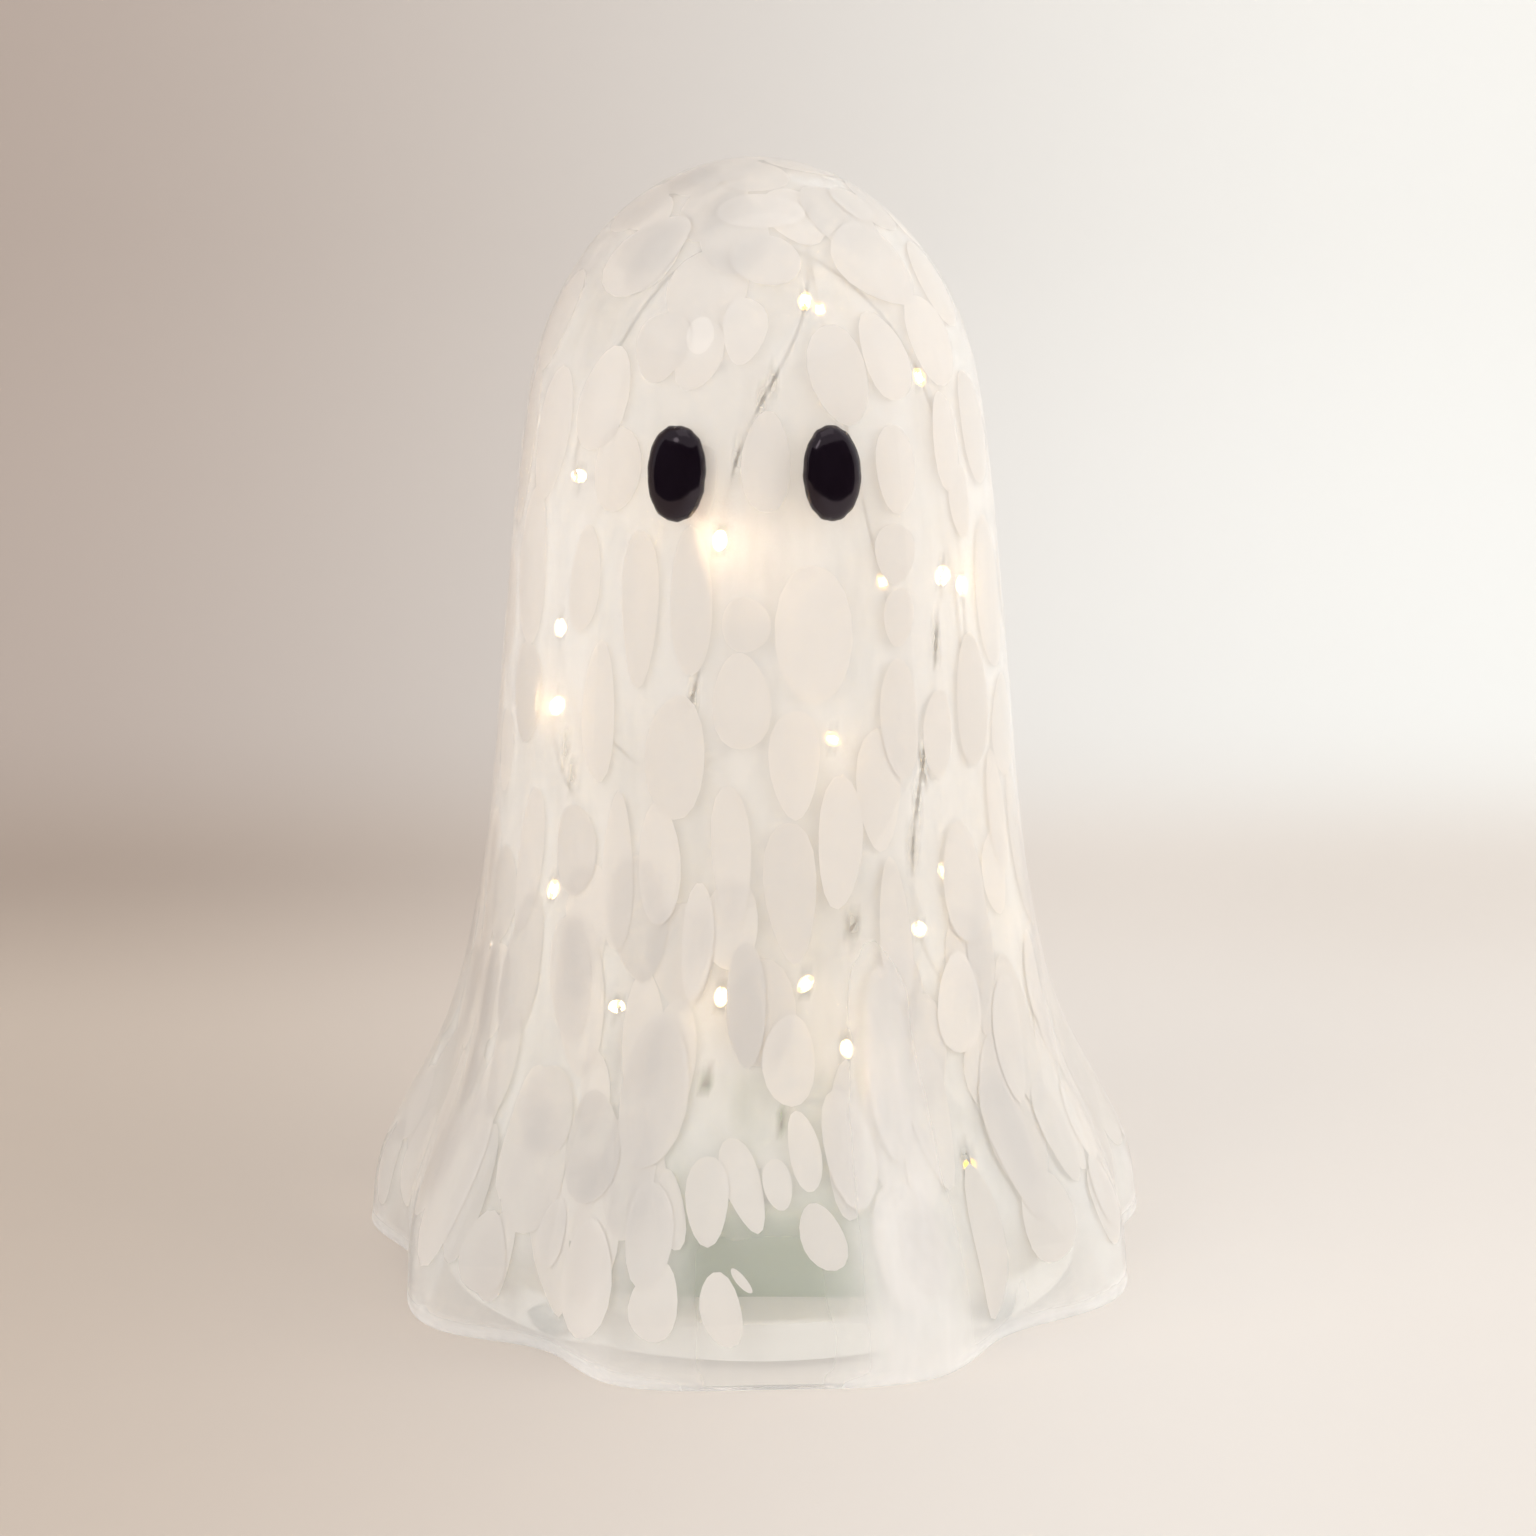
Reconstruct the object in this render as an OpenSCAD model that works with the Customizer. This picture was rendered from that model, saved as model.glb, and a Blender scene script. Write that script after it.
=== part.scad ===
// Lighted glass ghost: a blown glass shell stands over a base tray with a battery case,
// and a string of small lights lies in loose loops inside it.
// Millimetres, +Z up, the face towards -Y. The origin is on the table, under the middle.

/* [Glass body] */
// Height of the ghost
ghost_h = 240; // [225:1:270]
// Height at which the dome of the head begins
shoulder_z = 190; // [180:1:198]
// Radius of the body where the dome begins
shoulder_r = 47.4; // [45:0.1:50]
// Height of the neck
neck_z = 165; // [155:1:172]
// Radius at the neck
neck_r = 50.6; // [49:0.1:52]
// Height of the chest
chest_z = 135; // [115:1:148]
// Radius at the chest
chest_r = 53.4; // [51:0.1:56]
// Height of the top of the skirt
skirt_z = 80; // [70:1:95]
// Radius at the top of the skirt
skirt_r = 59.4; // [57:0.1:62]
// Height of the middle of the flare
flare_z = 46; // [40:1:54]
// Radius at the middle of the flare
flare_r = 67; // [65:0.1:69]
// Height of the turn from the flare into the hem
turn_z = 30; // [25:1:35]
// Radius at that turn
turn_r = 74.2; // [72:0.1:76]
// Height of the steep drop at the hem
hem_drop = 17; // [13:0.5:21]
// Mean radius of the hem on the table
hem_r = 80.5; // [79:0.1:86]
// How much narrower the top of the drop is than the hem
hem_lean = 1.3; // [0.4:0.1:2.5]
// Thickness of the glass
glass_t = 4; // [3:0.1:5]
// Radius of the fire-polished edges of the lip
lip_r = 1.2; // [0.6:0.1:1.4]
// How far the folds swing in and out at the hem
fold_swing = 4.6; // [2:0.1:6]
// Height at which the folds die out
fold_h = 100; // [80:1:130]

/* [Eyes] */
// Width of an eye
eye_w = 12.2; // [8:0.1:16]
// Height of an eye
eye_h = 19.6; // [14:0.1:26]
// How far an eye stands out from the glass
eye_bulge = 3.4; // [1.5:0.1:5]
// Distance between the middles of the eyes
eye_gap = 31.2; // [26:0.1:40]
// Height of the middle of the eyes
eye_z = 185.4; // [170:0.1:195]

/* [Base tray] */
// Height of the tray's underside above the table
tray_lift = 2; // [1.5:0.1:4]
// Thickness of the tray's floor
tray_t = 2.4; // [2.2:0.1:4]
// Height of the tray's rim above its underside
rim_h = 8; // [6:0.5:12]
// Thickness of the rim
rim_t = 1.8; // [1.2:0.1:3]
// Thickness of the glue between the rim and the nearest fold
glue_t = 1.6; // [1:0.1:4]

/* [Battery case] */
// Diameter of a cell
cell_d = 14.5; // [13.5:0.1:15]
// Length of a cell with its nub
cell_l = 50.5; // [48:0.1:52]
// Gap between cells
cell_gap = 0.6; // [0.4:0.1:2]
// Wall of the case
case_wall = 1.6; // [1.2:0.1:2.5]
// Length of the board's bay
board_bay_l = 22; // [21:0.5:28]
// Compressed length of a contact spring
spring_l = 7; // [5:0.5:9]
// Diameter of the spring wire
spring_wire = 0.7; // [0.5:0.05:0.8]
// Turns of a contact spring
spring_turns = 4; // [3:1:4]
// Thickness of the contact plates
plate_t = 0.4; // [0.3:0.05:0.6]
// Height of a contact plate
plate_h = 13.4; // [11:0.2:13.6]
// Thickness of the battery door
door_t = 2; // [1.6:0.1:2.2]
// Radius of the door's hinge pegs
peg_r = 0.9; // [0.7:0.05:1.1]

/* [Board and switch] */
// Width of the timer board
board_w = 34; // [32:0.5:36]
// Length of the timer board
board_l = 18; // [16:0.5:19]
// Thickness of the timer board
board_t = 1.2; // [0.8:0.1:1.6]
// Height of the switch body
switch_h = 4.4; // [4:0.1:5]
// Travel of the switch knob from on, past off, to timer
knob_travel = 4; // [2:0.5:5]
// Width of the switch knob
knob_w = 3; // [2:0.1:4]

/* [Light string] */
// Diameter of the twin wire
wire_d = 0.9; // [0.6:0.05:1.2]
// Diameter of a light's resin drop
drop_d = 3.4; // [2.6:0.1:4]

/* [Fits] */
// Clearance between parts that move past each other
run_clear = 0.3; // [0.2:0.05:0.5]
// Clearance around a hinge peg
peg_clear = 0.05; // [0.03:0.01:0.1]
// Clearance between pieces that are set against each other
seat_clear = 0.1; // [0.05:0.01:0.2]

/* [Hidden] */
$fn = 48;

// Body outline: height and mean radius, from the hem up to the shoulder
body_knots = [
    [0, hem_r], [hem_drop, hem_r - hem_lean], [turn_z, turn_r], [flare_z, flare_r],
    [skirt_z, skirt_r], [chest_z, chest_r], [neck_z, neck_r], [shoulder_z, shoulder_r]];
last_knot = len(body_knots) - 1;

// Crests and hollows of the folds round the hem: angle, and share of the swing
folds = [
    [-3, -0.5], [14, 1.45], [36, -1], [57, 0.9], [77, -0.9], [96, 0.5], [115, -1], [134, 0.9],
    [153, -0.9], [172, 1.15], [190, -1.1], [214, 1], [234, -1], [251, 0.95], [273, 0.3],
    [295, 1], [315, -1], [338, 1], [357, -0.5]];
glued_hollow = -0.95;

// Facets of the glass: sides round the body, rings up the body and over the dome
glass_sides = 80;
body_rings = 19;
dome_rings = 8;
lip_steps = 2;

function slope_after(i) =
    (body_knots[i + 1][1] - body_knots[i][1]) / (body_knots[i + 1][0] - body_knots[i][0]);
function rise_after(i) = body_knots[i + 1][0] - body_knots[i][0];
function knot_slope(i) =
    i == 0 ? slope_after(0)
    : i == last_knot ? slope_after(last_knot - 1) * 1.15
    : (slope_after(i - 1) * rise_after(i) + slope_after(i) * rise_after(i - 1))
        / (rise_after(i - 1) + rise_after(i));
function span_of(z) = max([for (i = [0 : last_knot - 1]) if (i == 0 || body_knots[i][0] <= z) i]);

// Mean radius of the body at a height, on a smooth curve through the knots
function body_r(z) =
    let (i = span_of(z), h = rise_after(i), t = (z - body_knots[i][0]) / h)
    (2 * t ^ 3 - 3 * t ^ 2 + 1) * body_knots[i][1] + (t ^ 3 - 2 * t ^ 2 + t) * h * knot_slope(i)
    + (3 * t ^ 2 - 2 * t ^ 3) * body_knots[i + 1][1] + (t ^ 3 - t ^ 2) * h * knot_slope(i + 1);
function body_slope(z) = (body_r(min(z + 0.5, shoulder_z)) - body_r(max(z - 0.5, 0)))
    / (min(z + 0.5, shoulder_z) - max(z - 0.5, 0));

// Share of the fold swing at an angle, and how it fades up the skirt
function turned(a) = a < folds[0][0] ? a + 360 : a >= folds[0][0] + 360 ? a - 360 : a;
function fold_at(a) =
    let (b = turned(a), i = max([for (k = [0 : len(folds) - 2]) if (folds[k][0] <= b) k]),
        t = (b - folds[i][0]) / (folds[i + 1][0] - folds[i][0]))
    folds[i][1] + (folds[i + 1][1] - folds[i][1]) * (1 - cos(180 * t)) / 2;
function fold_fade(z) = pow(max(0, 1 - z / fold_h), 1.5);

function outer_r(a, z) = body_r(z) + fold_swing * fold_fade(z) * fold_at(a);
function inner_r(a, z) = outer_r(a, z) - glass_t * sqrt(1 + body_slope(z) ^ 2);
function at_angle(a, r, z) = [r * cos(a), r * sin(a), z];

// The dome is an ellipse that leaves the shoulder along the body's own slope
dome_slope = knot_slope(last_knot);
function dome_share(r, top) = -dome_slope * (top - shoulder_z) / (r + dome_slope * (top - shoulder_z));
function dome_ring(r, top, s) =
    let (q = dome_share(r, top), b = (top - shoulder_z) / (1 - q), t0 = asin(q), t = t0 + (90 - t0) * s)
    [r / cos(t0) * cos(t), top - b + b * sin(t)];

side_angles = [for (k = [0 : glass_sides - 1]) 360 * k / glass_sides];
body_levels = [for (i = [1 : body_rings]) lip_r + (shoulder_z - lip_r) * pow(i / body_rings, 1.4)];
lip_turns = [for (i = [0 : lip_steps]) 90 * i / lip_steps];
outer_rings = concat(
    [for (t = lip_turns) let (z = lip_r * (1 - cos(t)))
        [for (a = side_angles) at_angle(a, outer_r(a, z) - lip_r * (1 - sin(t)), z)]],
    [for (z = body_levels) [for (a = side_angles) at_angle(a, outer_r(a, z), z)]],
    [for (i = [1 : dome_rings - 1]) let (p = dome_ring(shoulder_r, ghost_h, i / dome_rings))
        [for (a = side_angles) at_angle(a, p[0], p[1])]]);
inner_shoulder_r = inner_r(0, shoulder_z);
inner_rings = concat(
    [for (t = lip_turns) let (z = lip_r * (1 - cos(t)))
        [for (a = side_angles) at_angle(a, inner_r(a, z) + lip_r * (1 - sin(t)), z)]],
    [for (z = body_levels) [for (a = side_angles) at_angle(a, inner_r(a, z), z)]],
    [for (i = [1 : dome_rings - 1])
        let (p = dome_ring(inner_shoulder_r, ghost_h - glass_t, i / dome_rings))
        [for (a = side_angles) at_angle(a, p[0], p[1])]]);

// How far a cut runs out past a face, and how far joined solids run into each other
past = 1;
into = 0.1;

// Places in the base, from the table up and from the front to the back
floor_top = tray_lift + tray_t;
rim_top = tray_lift + rim_h;
hollow_angles = [for (f = folds) if (f[1] <= glued_hollow) f[0]];
least_inner_r = min([for (f = folds) for (z = [tray_lift, rim_top]) inner_r(f[0], z)]);
tray_r = least_inner_r - glue_t;
glue_h = rim_h - 2;
glue_arc = 9;

cell_pitch = cell_d + cell_gap;
cells_w = 3 * cell_d + 2 * cell_gap;
bump_h = 0.8;
bump_r = 2.5;
nub_h = 1;
nub_r = 2.75;
door_rib_h = 1;
cell_rest = 0.2;
cell_z = tray_lift + door_t + door_rib_h + cell_rest + cell_d / 2;
door_half = cells_w / 2 + 0.25;
door_hole_half = door_half + run_clear;
lug_w = 2.3;
bay_half = door_hole_half + lug_w + 0.2;
case_half = bay_half + case_wall;
bay_l = cell_l + spring_l + 2 * plate_t + bump_h;
case_l = bay_l + board_bay_l + 3 * case_wall;
case_front = -case_l / 2;
board_y = case_front + case_wall + board_bay_l / 2;
partition_y = case_front + case_wall + board_bay_l;
bay_front = partition_y + case_wall;
bay_back = bay_front + bay_l;
case_back = bay_back + case_wall;
bay_top = cell_z + cell_d / 2 + 1;
case_top = bay_top + case_wall;
case_corner = 3;

barrel_r = 1.5;
lug_back = bay_back - 0.15;
hinge_y = lug_back - barrel_r;
hinge_z = tray_lift + barrel_r;
lug_front = hinge_y - 2.2;
lug_top = hinge_z + peg_r + 1.1;
peg_reach = lug_w - 0.3;
door_front = partition_y - 5.5;
door_hole_back = hinge_y + barrel_r + run_clear;
door_screw_y = partition_y - 2.8;
door_boss_r = 2.6;
door_boss_z = floor_top + 0.2;
thumb_r = 6;
thumb_depth = 1;
rib_w = 1.2;
rib_half = cell_pitch + 4;

screw_r = 1;
screw_head_r = 2.2;
screw_head_h = 1.3;
screw_hole_r = screw_r + 0.2;
pilot_r = screw_r + 0.03;
head_proud = 0.3;
case_screw_l = 9;
door_screw_l = 4.8;
boss_r = 2.8;
boss_set_in = 0.6;
front_boss = [bay_half - boss_r + boss_set_in, case_front + case_wall + boss_r - boss_set_in];
back_boss = [15, case_back + boss_r - boss_set_in];
boss_h = case_screw_l + 2;
screw_places = [for (s = [-1, 1]) for (p = [front_boss, back_boss]) [s * p[0], p[1]]];

board_post_h = switch_h + 0.8;
board_z = floor_top + board_post_h;
board_top = board_z + board_t;
door_boss_h = board_z - 0.6 - door_boss_z;
board_post_x = board_w / 2 - 3;
board_post_r = 2.4;
board_screw_l = 5;
knob_d = 1.9;
knob_hang = 0.8;
switch_slot_l = knob_w + knob_travel + 2 * run_clear;
switch_l = switch_slot_l + 2;
switch_d = knob_d + 2 * run_clear + 2;
knob_in = 1.6;

lead_d = 1.2;
lead_z = cell_z + plate_h / 2 - lead_d / 2 - 0.3;
lead_x = cell_pitch + cell_d / 2 + lead_d / 2 - 0.1;
lead_tab_x = cell_pitch + 3.4;
lead_turn_y = partition_y - 6.5;
lead_end_x = board_w / 2 - 7;

grommet_r = 3;
grommet_flange = 1.2;
grommet_t = 1;

// Route of the light string, up out of the case and round in long loops
string_route = [
    [0, -31, 4], [0, -31, 12], [0, -31, 20], [0, -31, 30],
    [18, -30, 62], [48, 0, 56], [44, -28, 10], [42, -44, 64], [12, -44, 46],
    [26, -46, 104], [-10, -48, 96], [-4, -50, 54], [-34, -54, 26], [-24, -14, 74],
    [-42, 12, 34], [-50, -20, 72], [-32, 26, 106], [-50, 0, 140], [-20, 20, 180],
    [-44, -22, 166], [-22, -22, 222], [4, 10, 226], [38, 16, 198], [46, 10, 150],
    [46, 0, 108], [38, -18, 182], [36, -32, 126], [28, -34, 86], [50, 2, 42],
    [42, 30, 78], [30, 36, 134], [16, 38, 190], [8, 2, 236], [14, -26, 212],
    [-6, -42, 192], [-8, -42, 150], [-20, -48, 110], [-44, -18, 148], [-38, -38, 92],
    [8, -44, 146], [38, -38, 106], [4, -44, 68], [-6, -44, 56]];
string_exit = [string_route[0][0], string_route[0][1]];
wire_clear = 0.12;
// Distance of each light along the string
light_places = [114, 166, 241, 330, 389, 452, 516, 590, 640, 686, 755, 833, 905, 972, 1045, 1100,
    1156, 1235, 1313, 1375];
rings_per_span = 5;
wire_sides = 6;

// A point on a smooth curve that the route's points steer
function eased(p, i, t) =
    ((1 - t) ^ 3 * p[i - 1] + (3 * t ^ 3 - 6 * t ^ 2 + 4) * p[i]
    + (-3 * t ^ 3 + 3 * t ^ 2 + 3 * t + 1) * p[i + 1] + t ^ 3 * p[i + 2]) / 6;
function eased_line(p, steps) = concat(
    [for (i = [1 : len(p) - 3]) for (k = [0 : steps - 1]) eased(p, i, k / steps)],
    [eased(p, len(p) - 3, 1)]);
string_line = eased_line(string_route, rings_per_span);
string_length = [for (i = 0, s = 0; i < len(string_line);
    i = i + 1, s = i < len(string_line) ? s + norm(string_line[i] - string_line[i - 1]) : s) s];

// Rings of a tube along a line, each turned on from the last without twisting
function unit(v) = v / norm(v);
function heading(p, i) = unit(p[min(i + 1, len(p) - 1)] - p[max(i - 1, 0)]);
function square_to(v, d) = unit(v - d * (v * d));
function tube_rings(p, d, sides) =
    let (first = heading(p, 0), aside = abs(first[2]) < 0.9 ? [0, 0, 1] : [1, 0, 0],
        normals = [for (i = 0, n = square_to(aside, first); i < len(p);
            i = i + 1, n = i < len(p) ? square_to(n, heading(p, i)) : n) n])
    [for (i = [0 : len(p) - 1]) let (n = normals[i], b = cross(heading(p, i), n))
        [for (k = [0 : sides - 1])
            p[i] + d / 2 * (cos(360 * k / sides) * n + sin(360 * k / sides) * b)]];
function least_gap(p, d, skip) =
    min([for (i = [0 : len(p) - 1 - skip]) for (j = [i + skip : len(p) - 1]) norm(p[i] - p[j])]) - d;

// Line of a contact spring that narrows towards the cell, standing on the plate
spring_wide = 4.4;
spring_narrow = 2.8;
spring_rings = 8;
spring_rise = spring_l - spring_wire - 3 * seat_clear;
spring_line = [for (i = [0 : spring_turns * spring_rings])
    let (t = i / (spring_turns * spring_rings), r = spring_wide + (spring_narrow - spring_wide) * t)
    [r * cos(360 * spring_turns * t), r * sin(360 * spring_turns * t),
        spring_wire / 2 + seat_clear + spring_rise * t]];

echo(string_length = string_length[len(string_length) - 1],
    string_gap = least_gap(eased_line(string_route, 2 * rings_per_span), wire_d, 4 * rings_per_span),
    spring_gap = least_gap(spring_line, spring_wire, spring_rings - 1));

function ring_faces(sides, i, flip) = [for (k = [0 : sides - 1])
    let (a = i * sides + k, b = i * sides + (k + 1) % sides, c = a + sides, d = b + sides)
    each flip ? [[a, d, b], [a, c, d]] : [[a, b, d], [a, d, c]]];
function flattened(rings) = [for (r = rings) each r];

// Tube with closed ends through a list of rings
module tube(rings) {
    sides = len(rings[0]);
    count = len(rings);
    polyhedron(flattened(rings), concat(
        [for (i = [0 : count - 2]) each ring_faces(sides, i, true)],
        [for (k = [1 : sides - 2]) [0, k, k + 1]],
        [for (k = [1 : sides - 2]) [0, k + 1, k] + (count - 1) * sides * [1, 1, 1]]));
}

// Block with round upright corners
module round_block(x0, x1, y0, y1, h, r) {
    linear_extrude(h) {
        translate([x0 + r, y0]) square([x1 - x0 - 2 * r, y1 - y0]);
        translate([x0, y0 + r]) square([x1 - x0, y1 - y0 - 2 * r]);
        for (x = [x0 + r, x1 - r])
            for (y = [y0 + r, y1 - r])
                translate([x, y]) circle(r);
    }
}

// Straight runs of insulated lead with round elbows
module lead(points) {
    for (i = [0 : len(points) - 2]) {
        d = points[i + 1] - points[i];
        translate(points[i])
            rotate([0, acos(d[2] / norm(d)), atan2(d[1], d[0])])
                cylinder(d = lead_d, h = norm(d));
    }
    for (i = [1 : len(points) - 2])
        translate(points[i]) sphere(d = lead_d);
}

module glass_shell() {
    sides = glass_sides;
    outer_count = len(outer_rings);
    inner_count = len(inner_rings);
    inner_start = outer_count * sides;
    outer_top = inner_start + inner_count * sides;
    inner_top = outer_top + 1;
    points = concat(flattened(outer_rings), flattened(inner_rings),
        [[0, 0, ghost_h], [0, 0, ghost_h - glass_t]]);
    shift = inner_start * [1, 1, 1];
    last_outer = (outer_count - 1) * sides;
    last_inner = inner_start + (inner_count - 1) * sides;
    color("white", 0.5) polyhedron(points, concat(
        [for (i = [0 : outer_count - 2]) each ring_faces(sides, i, true)],
        [for (i = [0 : inner_count - 2]) for (f = ring_faces(sides, i, false)) f + shift],
        [for (k = [0 : sides - 1]) let (n = (k + 1) % sides) [last_outer + k, outer_top, last_outer + n]],
        [for (k = [0 : sides - 1]) let (n = (k + 1) % sides) [last_inner + k, last_inner + n, inner_top]],
        [for (k = [0 : sides - 1]) let (n = (k + 1) % sides)
            each [[k, n, inner_start + n], [k, inner_start + n, inner_start + k]]]));
}

// Oval cabochon that follows the curve of the glass, flatter in the middle than an ellipse
eye_fullness = 3.6;
eye_rings = 7;
eye_sides = 32;
eye_r = body_r(eye_z);
eye_turn = asin(eye_gap / 2 / eye_r);
function eye_point(side, share, turn, lift) =
    let (a = -90 + side * eye_turn + eye_w / 2 * share * cos(turn) / eye_r * 180 / PI,
        z = eye_z + eye_h / 2 * share * sin(turn) / sqrt(1 + body_slope(eye_z) ^ 2),
        r = z < shoulder_z ? body_r(z) : dome_at(z), s = z < shoulder_z ? body_slope(z) : dome_slope,
        out = unit([cos(a), sin(a), -s]))
    at_angle(a, r, z) + (lift + seat_clear / 2) * out;
function dome_at(z) =
    let (q = dome_share(shoulder_r, ghost_h), b = (ghost_h - shoulder_z) / (1 - q))
    shoulder_r / sqrt(1 - q ^ 2) * sqrt(1 - ((z - ghost_h + b) / b) ^ 2);
function eye_lift(share) = eye_bulge * pow(1 - pow(share, eye_fullness), 0.5);
module eye(side) {
    shares = [for (i = [0 : eye_rings - 1]) cos(90 * i / eye_rings)];
    front = [for (s = shares) [for (k = [0 : eye_sides - 1])
        eye_point(side, s, 360 * k / eye_sides, eye_lift(s))]];
    back = [for (s = shares) [for (k = [0 : eye_sides - 1]) eye_point(side, s, 360 * k / eye_sides, 0)]];
    start = (eye_rings - 1) * eye_sides;
    middle = 2 * eye_rings * eye_sides - eye_sides;
    points = concat(flattened(front), flattened([for (i = [1 : eye_rings - 1]) back[i]]),
        [eye_point(side, 0, 0, eye_bulge), eye_point(side, 0, 0, 0)]);
    polyhedron(points, concat(
        [for (i = [0 : eye_rings - 2]) each ring_faces(eye_sides, i, true)],
        [for (k = [0 : eye_sides - 1]) let (n = (k + 1) % eye_sides) [start + k, middle, start + n]],
        [for (k = [0 : eye_sides - 1]) let (n = (k + 1) % eye_sides, b = eye_rings * eye_sides)
            each [[k, n, b + n], [k, b + n, b + k]]],
        [for (i = [eye_rings : 2 * eye_rings - 3]) each ring_faces(eye_sides, i, false)],
        [for (k = [0 : eye_sides - 1]) let (n = (k + 1) % eye_sides, b = middle - eye_sides)
            [b + k, b + n, middle + 1]]));
}
module left_eye() { color("black") eye(-1); }
module right_eye() { color("black") eye(1); }

// Shallow tray that closes the shell, with the door's opening, its hinge lugs and the board's posts
module tray() {
    color("ghostwhite") difference() {
        union() {
            translate([0, 0, tray_lift]) cylinder(r = tray_r, h = tray_t, $fn = 120);
            translate([0, 0, tray_lift]) difference() {
                cylinder(r = tray_r, h = rim_h, $fn = 120);
                translate([0, 0, -past]) cylinder(r = tray_r - rim_t, h = rim_h + 2 * past, $fn = 120);
            }
            for (s = [-1, 1])
                translate([s * (door_hole_half + lug_w / 2) - lug_w / 2, lug_front, tray_lift])
                    cube([lug_w, lug_back - lug_front, lug_top - tray_lift]);
            for (s = [-1, 1])
                translate([s * board_post_x, board_y, tray_lift])
                    cylinder(r = board_post_r, h = board_z - tray_lift);
        }
        translate([-door_hole_half, door_front - run_clear, tray_lift - past])
            cube([2 * door_hole_half, door_hole_back - door_front + run_clear, tray_t + rim_h]);
        for (s = [-1, 1])
            translate([s * (door_hole_half - past), hinge_y, hinge_z])
                rotate([0, s * 90, 0]) cylinder(r = peg_r + peg_clear, h = peg_reach + past + into);
        for (p = screw_places)
            translate([p[0], p[1], tray_lift - past]) {
                cylinder(r = screw_hole_r, h = tray_t + 2 * past);
                cylinder(r = screw_head_r + run_clear, h = screw_head_h + past);
            }
        for (s = [-1, 1])
            translate([s * board_post_x, board_y, board_top - board_screw_l - past / 2])
                cylinder(r = pilot_r, h = board_screw_l + past);
        translate([-switch_slot_l / 2, board_y - knob_d / 2 - run_clear, tray_lift - past])
            cube([switch_slot_l, knob_d + 2 * run_clear, tray_t + 2 * past]);
    }
}

// Silicone between the tray's rim and the deep folds of the glass
module glue_dabs() {
    color("whitesmoke", 0.6) for (a = hollow_angles)
        rotate([0, 0, a - glue_arc / 2])
            rotate_extrude(angle = glue_arc, $fn = 120)
                translate([tray_r + seat_clear / 2, tray_lift + 1])
                    square([inner_r(a, tray_lift + 1 + glue_h) - tray_r - 2 * seat_clear, glue_h]);
}

// Box over the cells and the board, open below, with bosses for its screws
module battery_case() {
    case_h = case_top - floor_top;
    color("darkseagreen") difference() {
        union() {
            difference() {
                translate([0, 0, floor_top])
                    round_block(-case_half, case_half, case_front, case_back, case_h, case_corner);
                translate([-bay_half, bay_front, floor_top - past])
                    cube([2 * bay_half, bay_l, bay_top - floor_top + past]);
                translate([-bay_half, case_front + case_wall, floor_top - past])
                    cube([2 * bay_half, board_bay_l, bay_top - floor_top + past]);
            }
            for (s = [-1, 1])
                translate([s * front_boss[0], front_boss[1], floor_top])
                    cylinder(r = boss_r, h = bay_top - floor_top + boss_set_in);
            for (s = [-1, 1])
                translate([s * back_boss[0], back_boss[1], floor_top]) cylinder(r = boss_r, h = boss_h);
            translate([0, door_screw_y, door_boss_z]) cylinder(r = door_boss_r, h = door_boss_h);
            translate([-door_boss_r, door_screw_y, door_boss_z])
                cube([2 * door_boss_r, partition_y - door_screw_y + boss_set_in, door_boss_h]);
        }
        for (p = screw_places)
            translate([p[0], p[1], floor_top - past]) cylinder(r = pilot_r, h = case_screw_l + past);
        translate([0, door_screw_y, door_boss_z - past])
            cylinder(r = screw_hole_r + into, h = door_boss_h);
        translate([string_exit[0], string_exit[1], bay_top - past])
            cylinder(r = grommet_r, h = case_wall + 2 * past);
        for (s = [-1, 1])
            translate([s * lead_x, partition_y - past, lead_z])
                rotate([-90, 0, 0]) cylinder(r = lead_d / 2 + run_clear, h = case_wall + 2 * past);
        translate([-door_half, partition_y - past / 2, floor_top - past])
            cube([2 * door_half, case_wall + past, past + door_t + door_rib_h - tray_t + cell_rest]);
    }
}

// Door under the cells, with a hinge barrel, two pegs, ribs and a thumb hollow at its free end
module battery_door() {
    color("ghostwhite") difference() {
        union() {
            translate([-door_half, door_front, tray_lift])
                cube([2 * door_half, hinge_y - door_front, door_t]);
            translate([-door_half, hinge_y, hinge_z])
                rotate([0, 90, 0]) cylinder(r = barrel_r, h = 2 * door_half);
            for (s = [-1, 1])
                translate([s * (door_half - into), hinge_y, hinge_z])
                    rotate([0, s * 90, 0]) cylinder(r = peg_r, h = peg_reach + into);
            for (share = [0.25, 0.5, 0.75])
                translate([-rib_half, bay_front + bay_l * share - rib_w / 2, tray_lift + door_t - into])
                    cube([2 * rib_half, rib_w, door_rib_h + into]);
        }
        translate([0, door_screw_y, tray_lift - past]) {
            cylinder(r = screw_hole_r, h = door_t + 2 * past);
            cylinder(r = screw_head_r + run_clear, h = screw_head_h - head_proud + past);
        }
        for (s = [-1, 1])
            translate([s * door_half / 2, door_front, tray_lift - thumb_r + thumb_depth])
                sphere(r = thumb_r);
    }
}

// Screw with a cross recess in its head
drive_w = 0.5;
drive_l = 2.6;
drive_depth = 0.7;
module screw(shank_l, head_h) {
    difference() {
        cylinder(r = screw_head_r, h = head_h);
        for (turn = [0, 90])
            rotate([0, 0, turn]) translate([-drive_w / 2, -drive_l / 2, -past])
                cube([drive_w, drive_l, drive_depth + past]);
    }
    translate([0, 0, head_h - into]) cylinder(r = screw_r, h = shank_l + into);
}

module door_screw() {
    color("silver") translate([0, door_screw_y, tray_lift - head_proud])
        screw(door_screw_l, screw_head_h);
}

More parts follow.
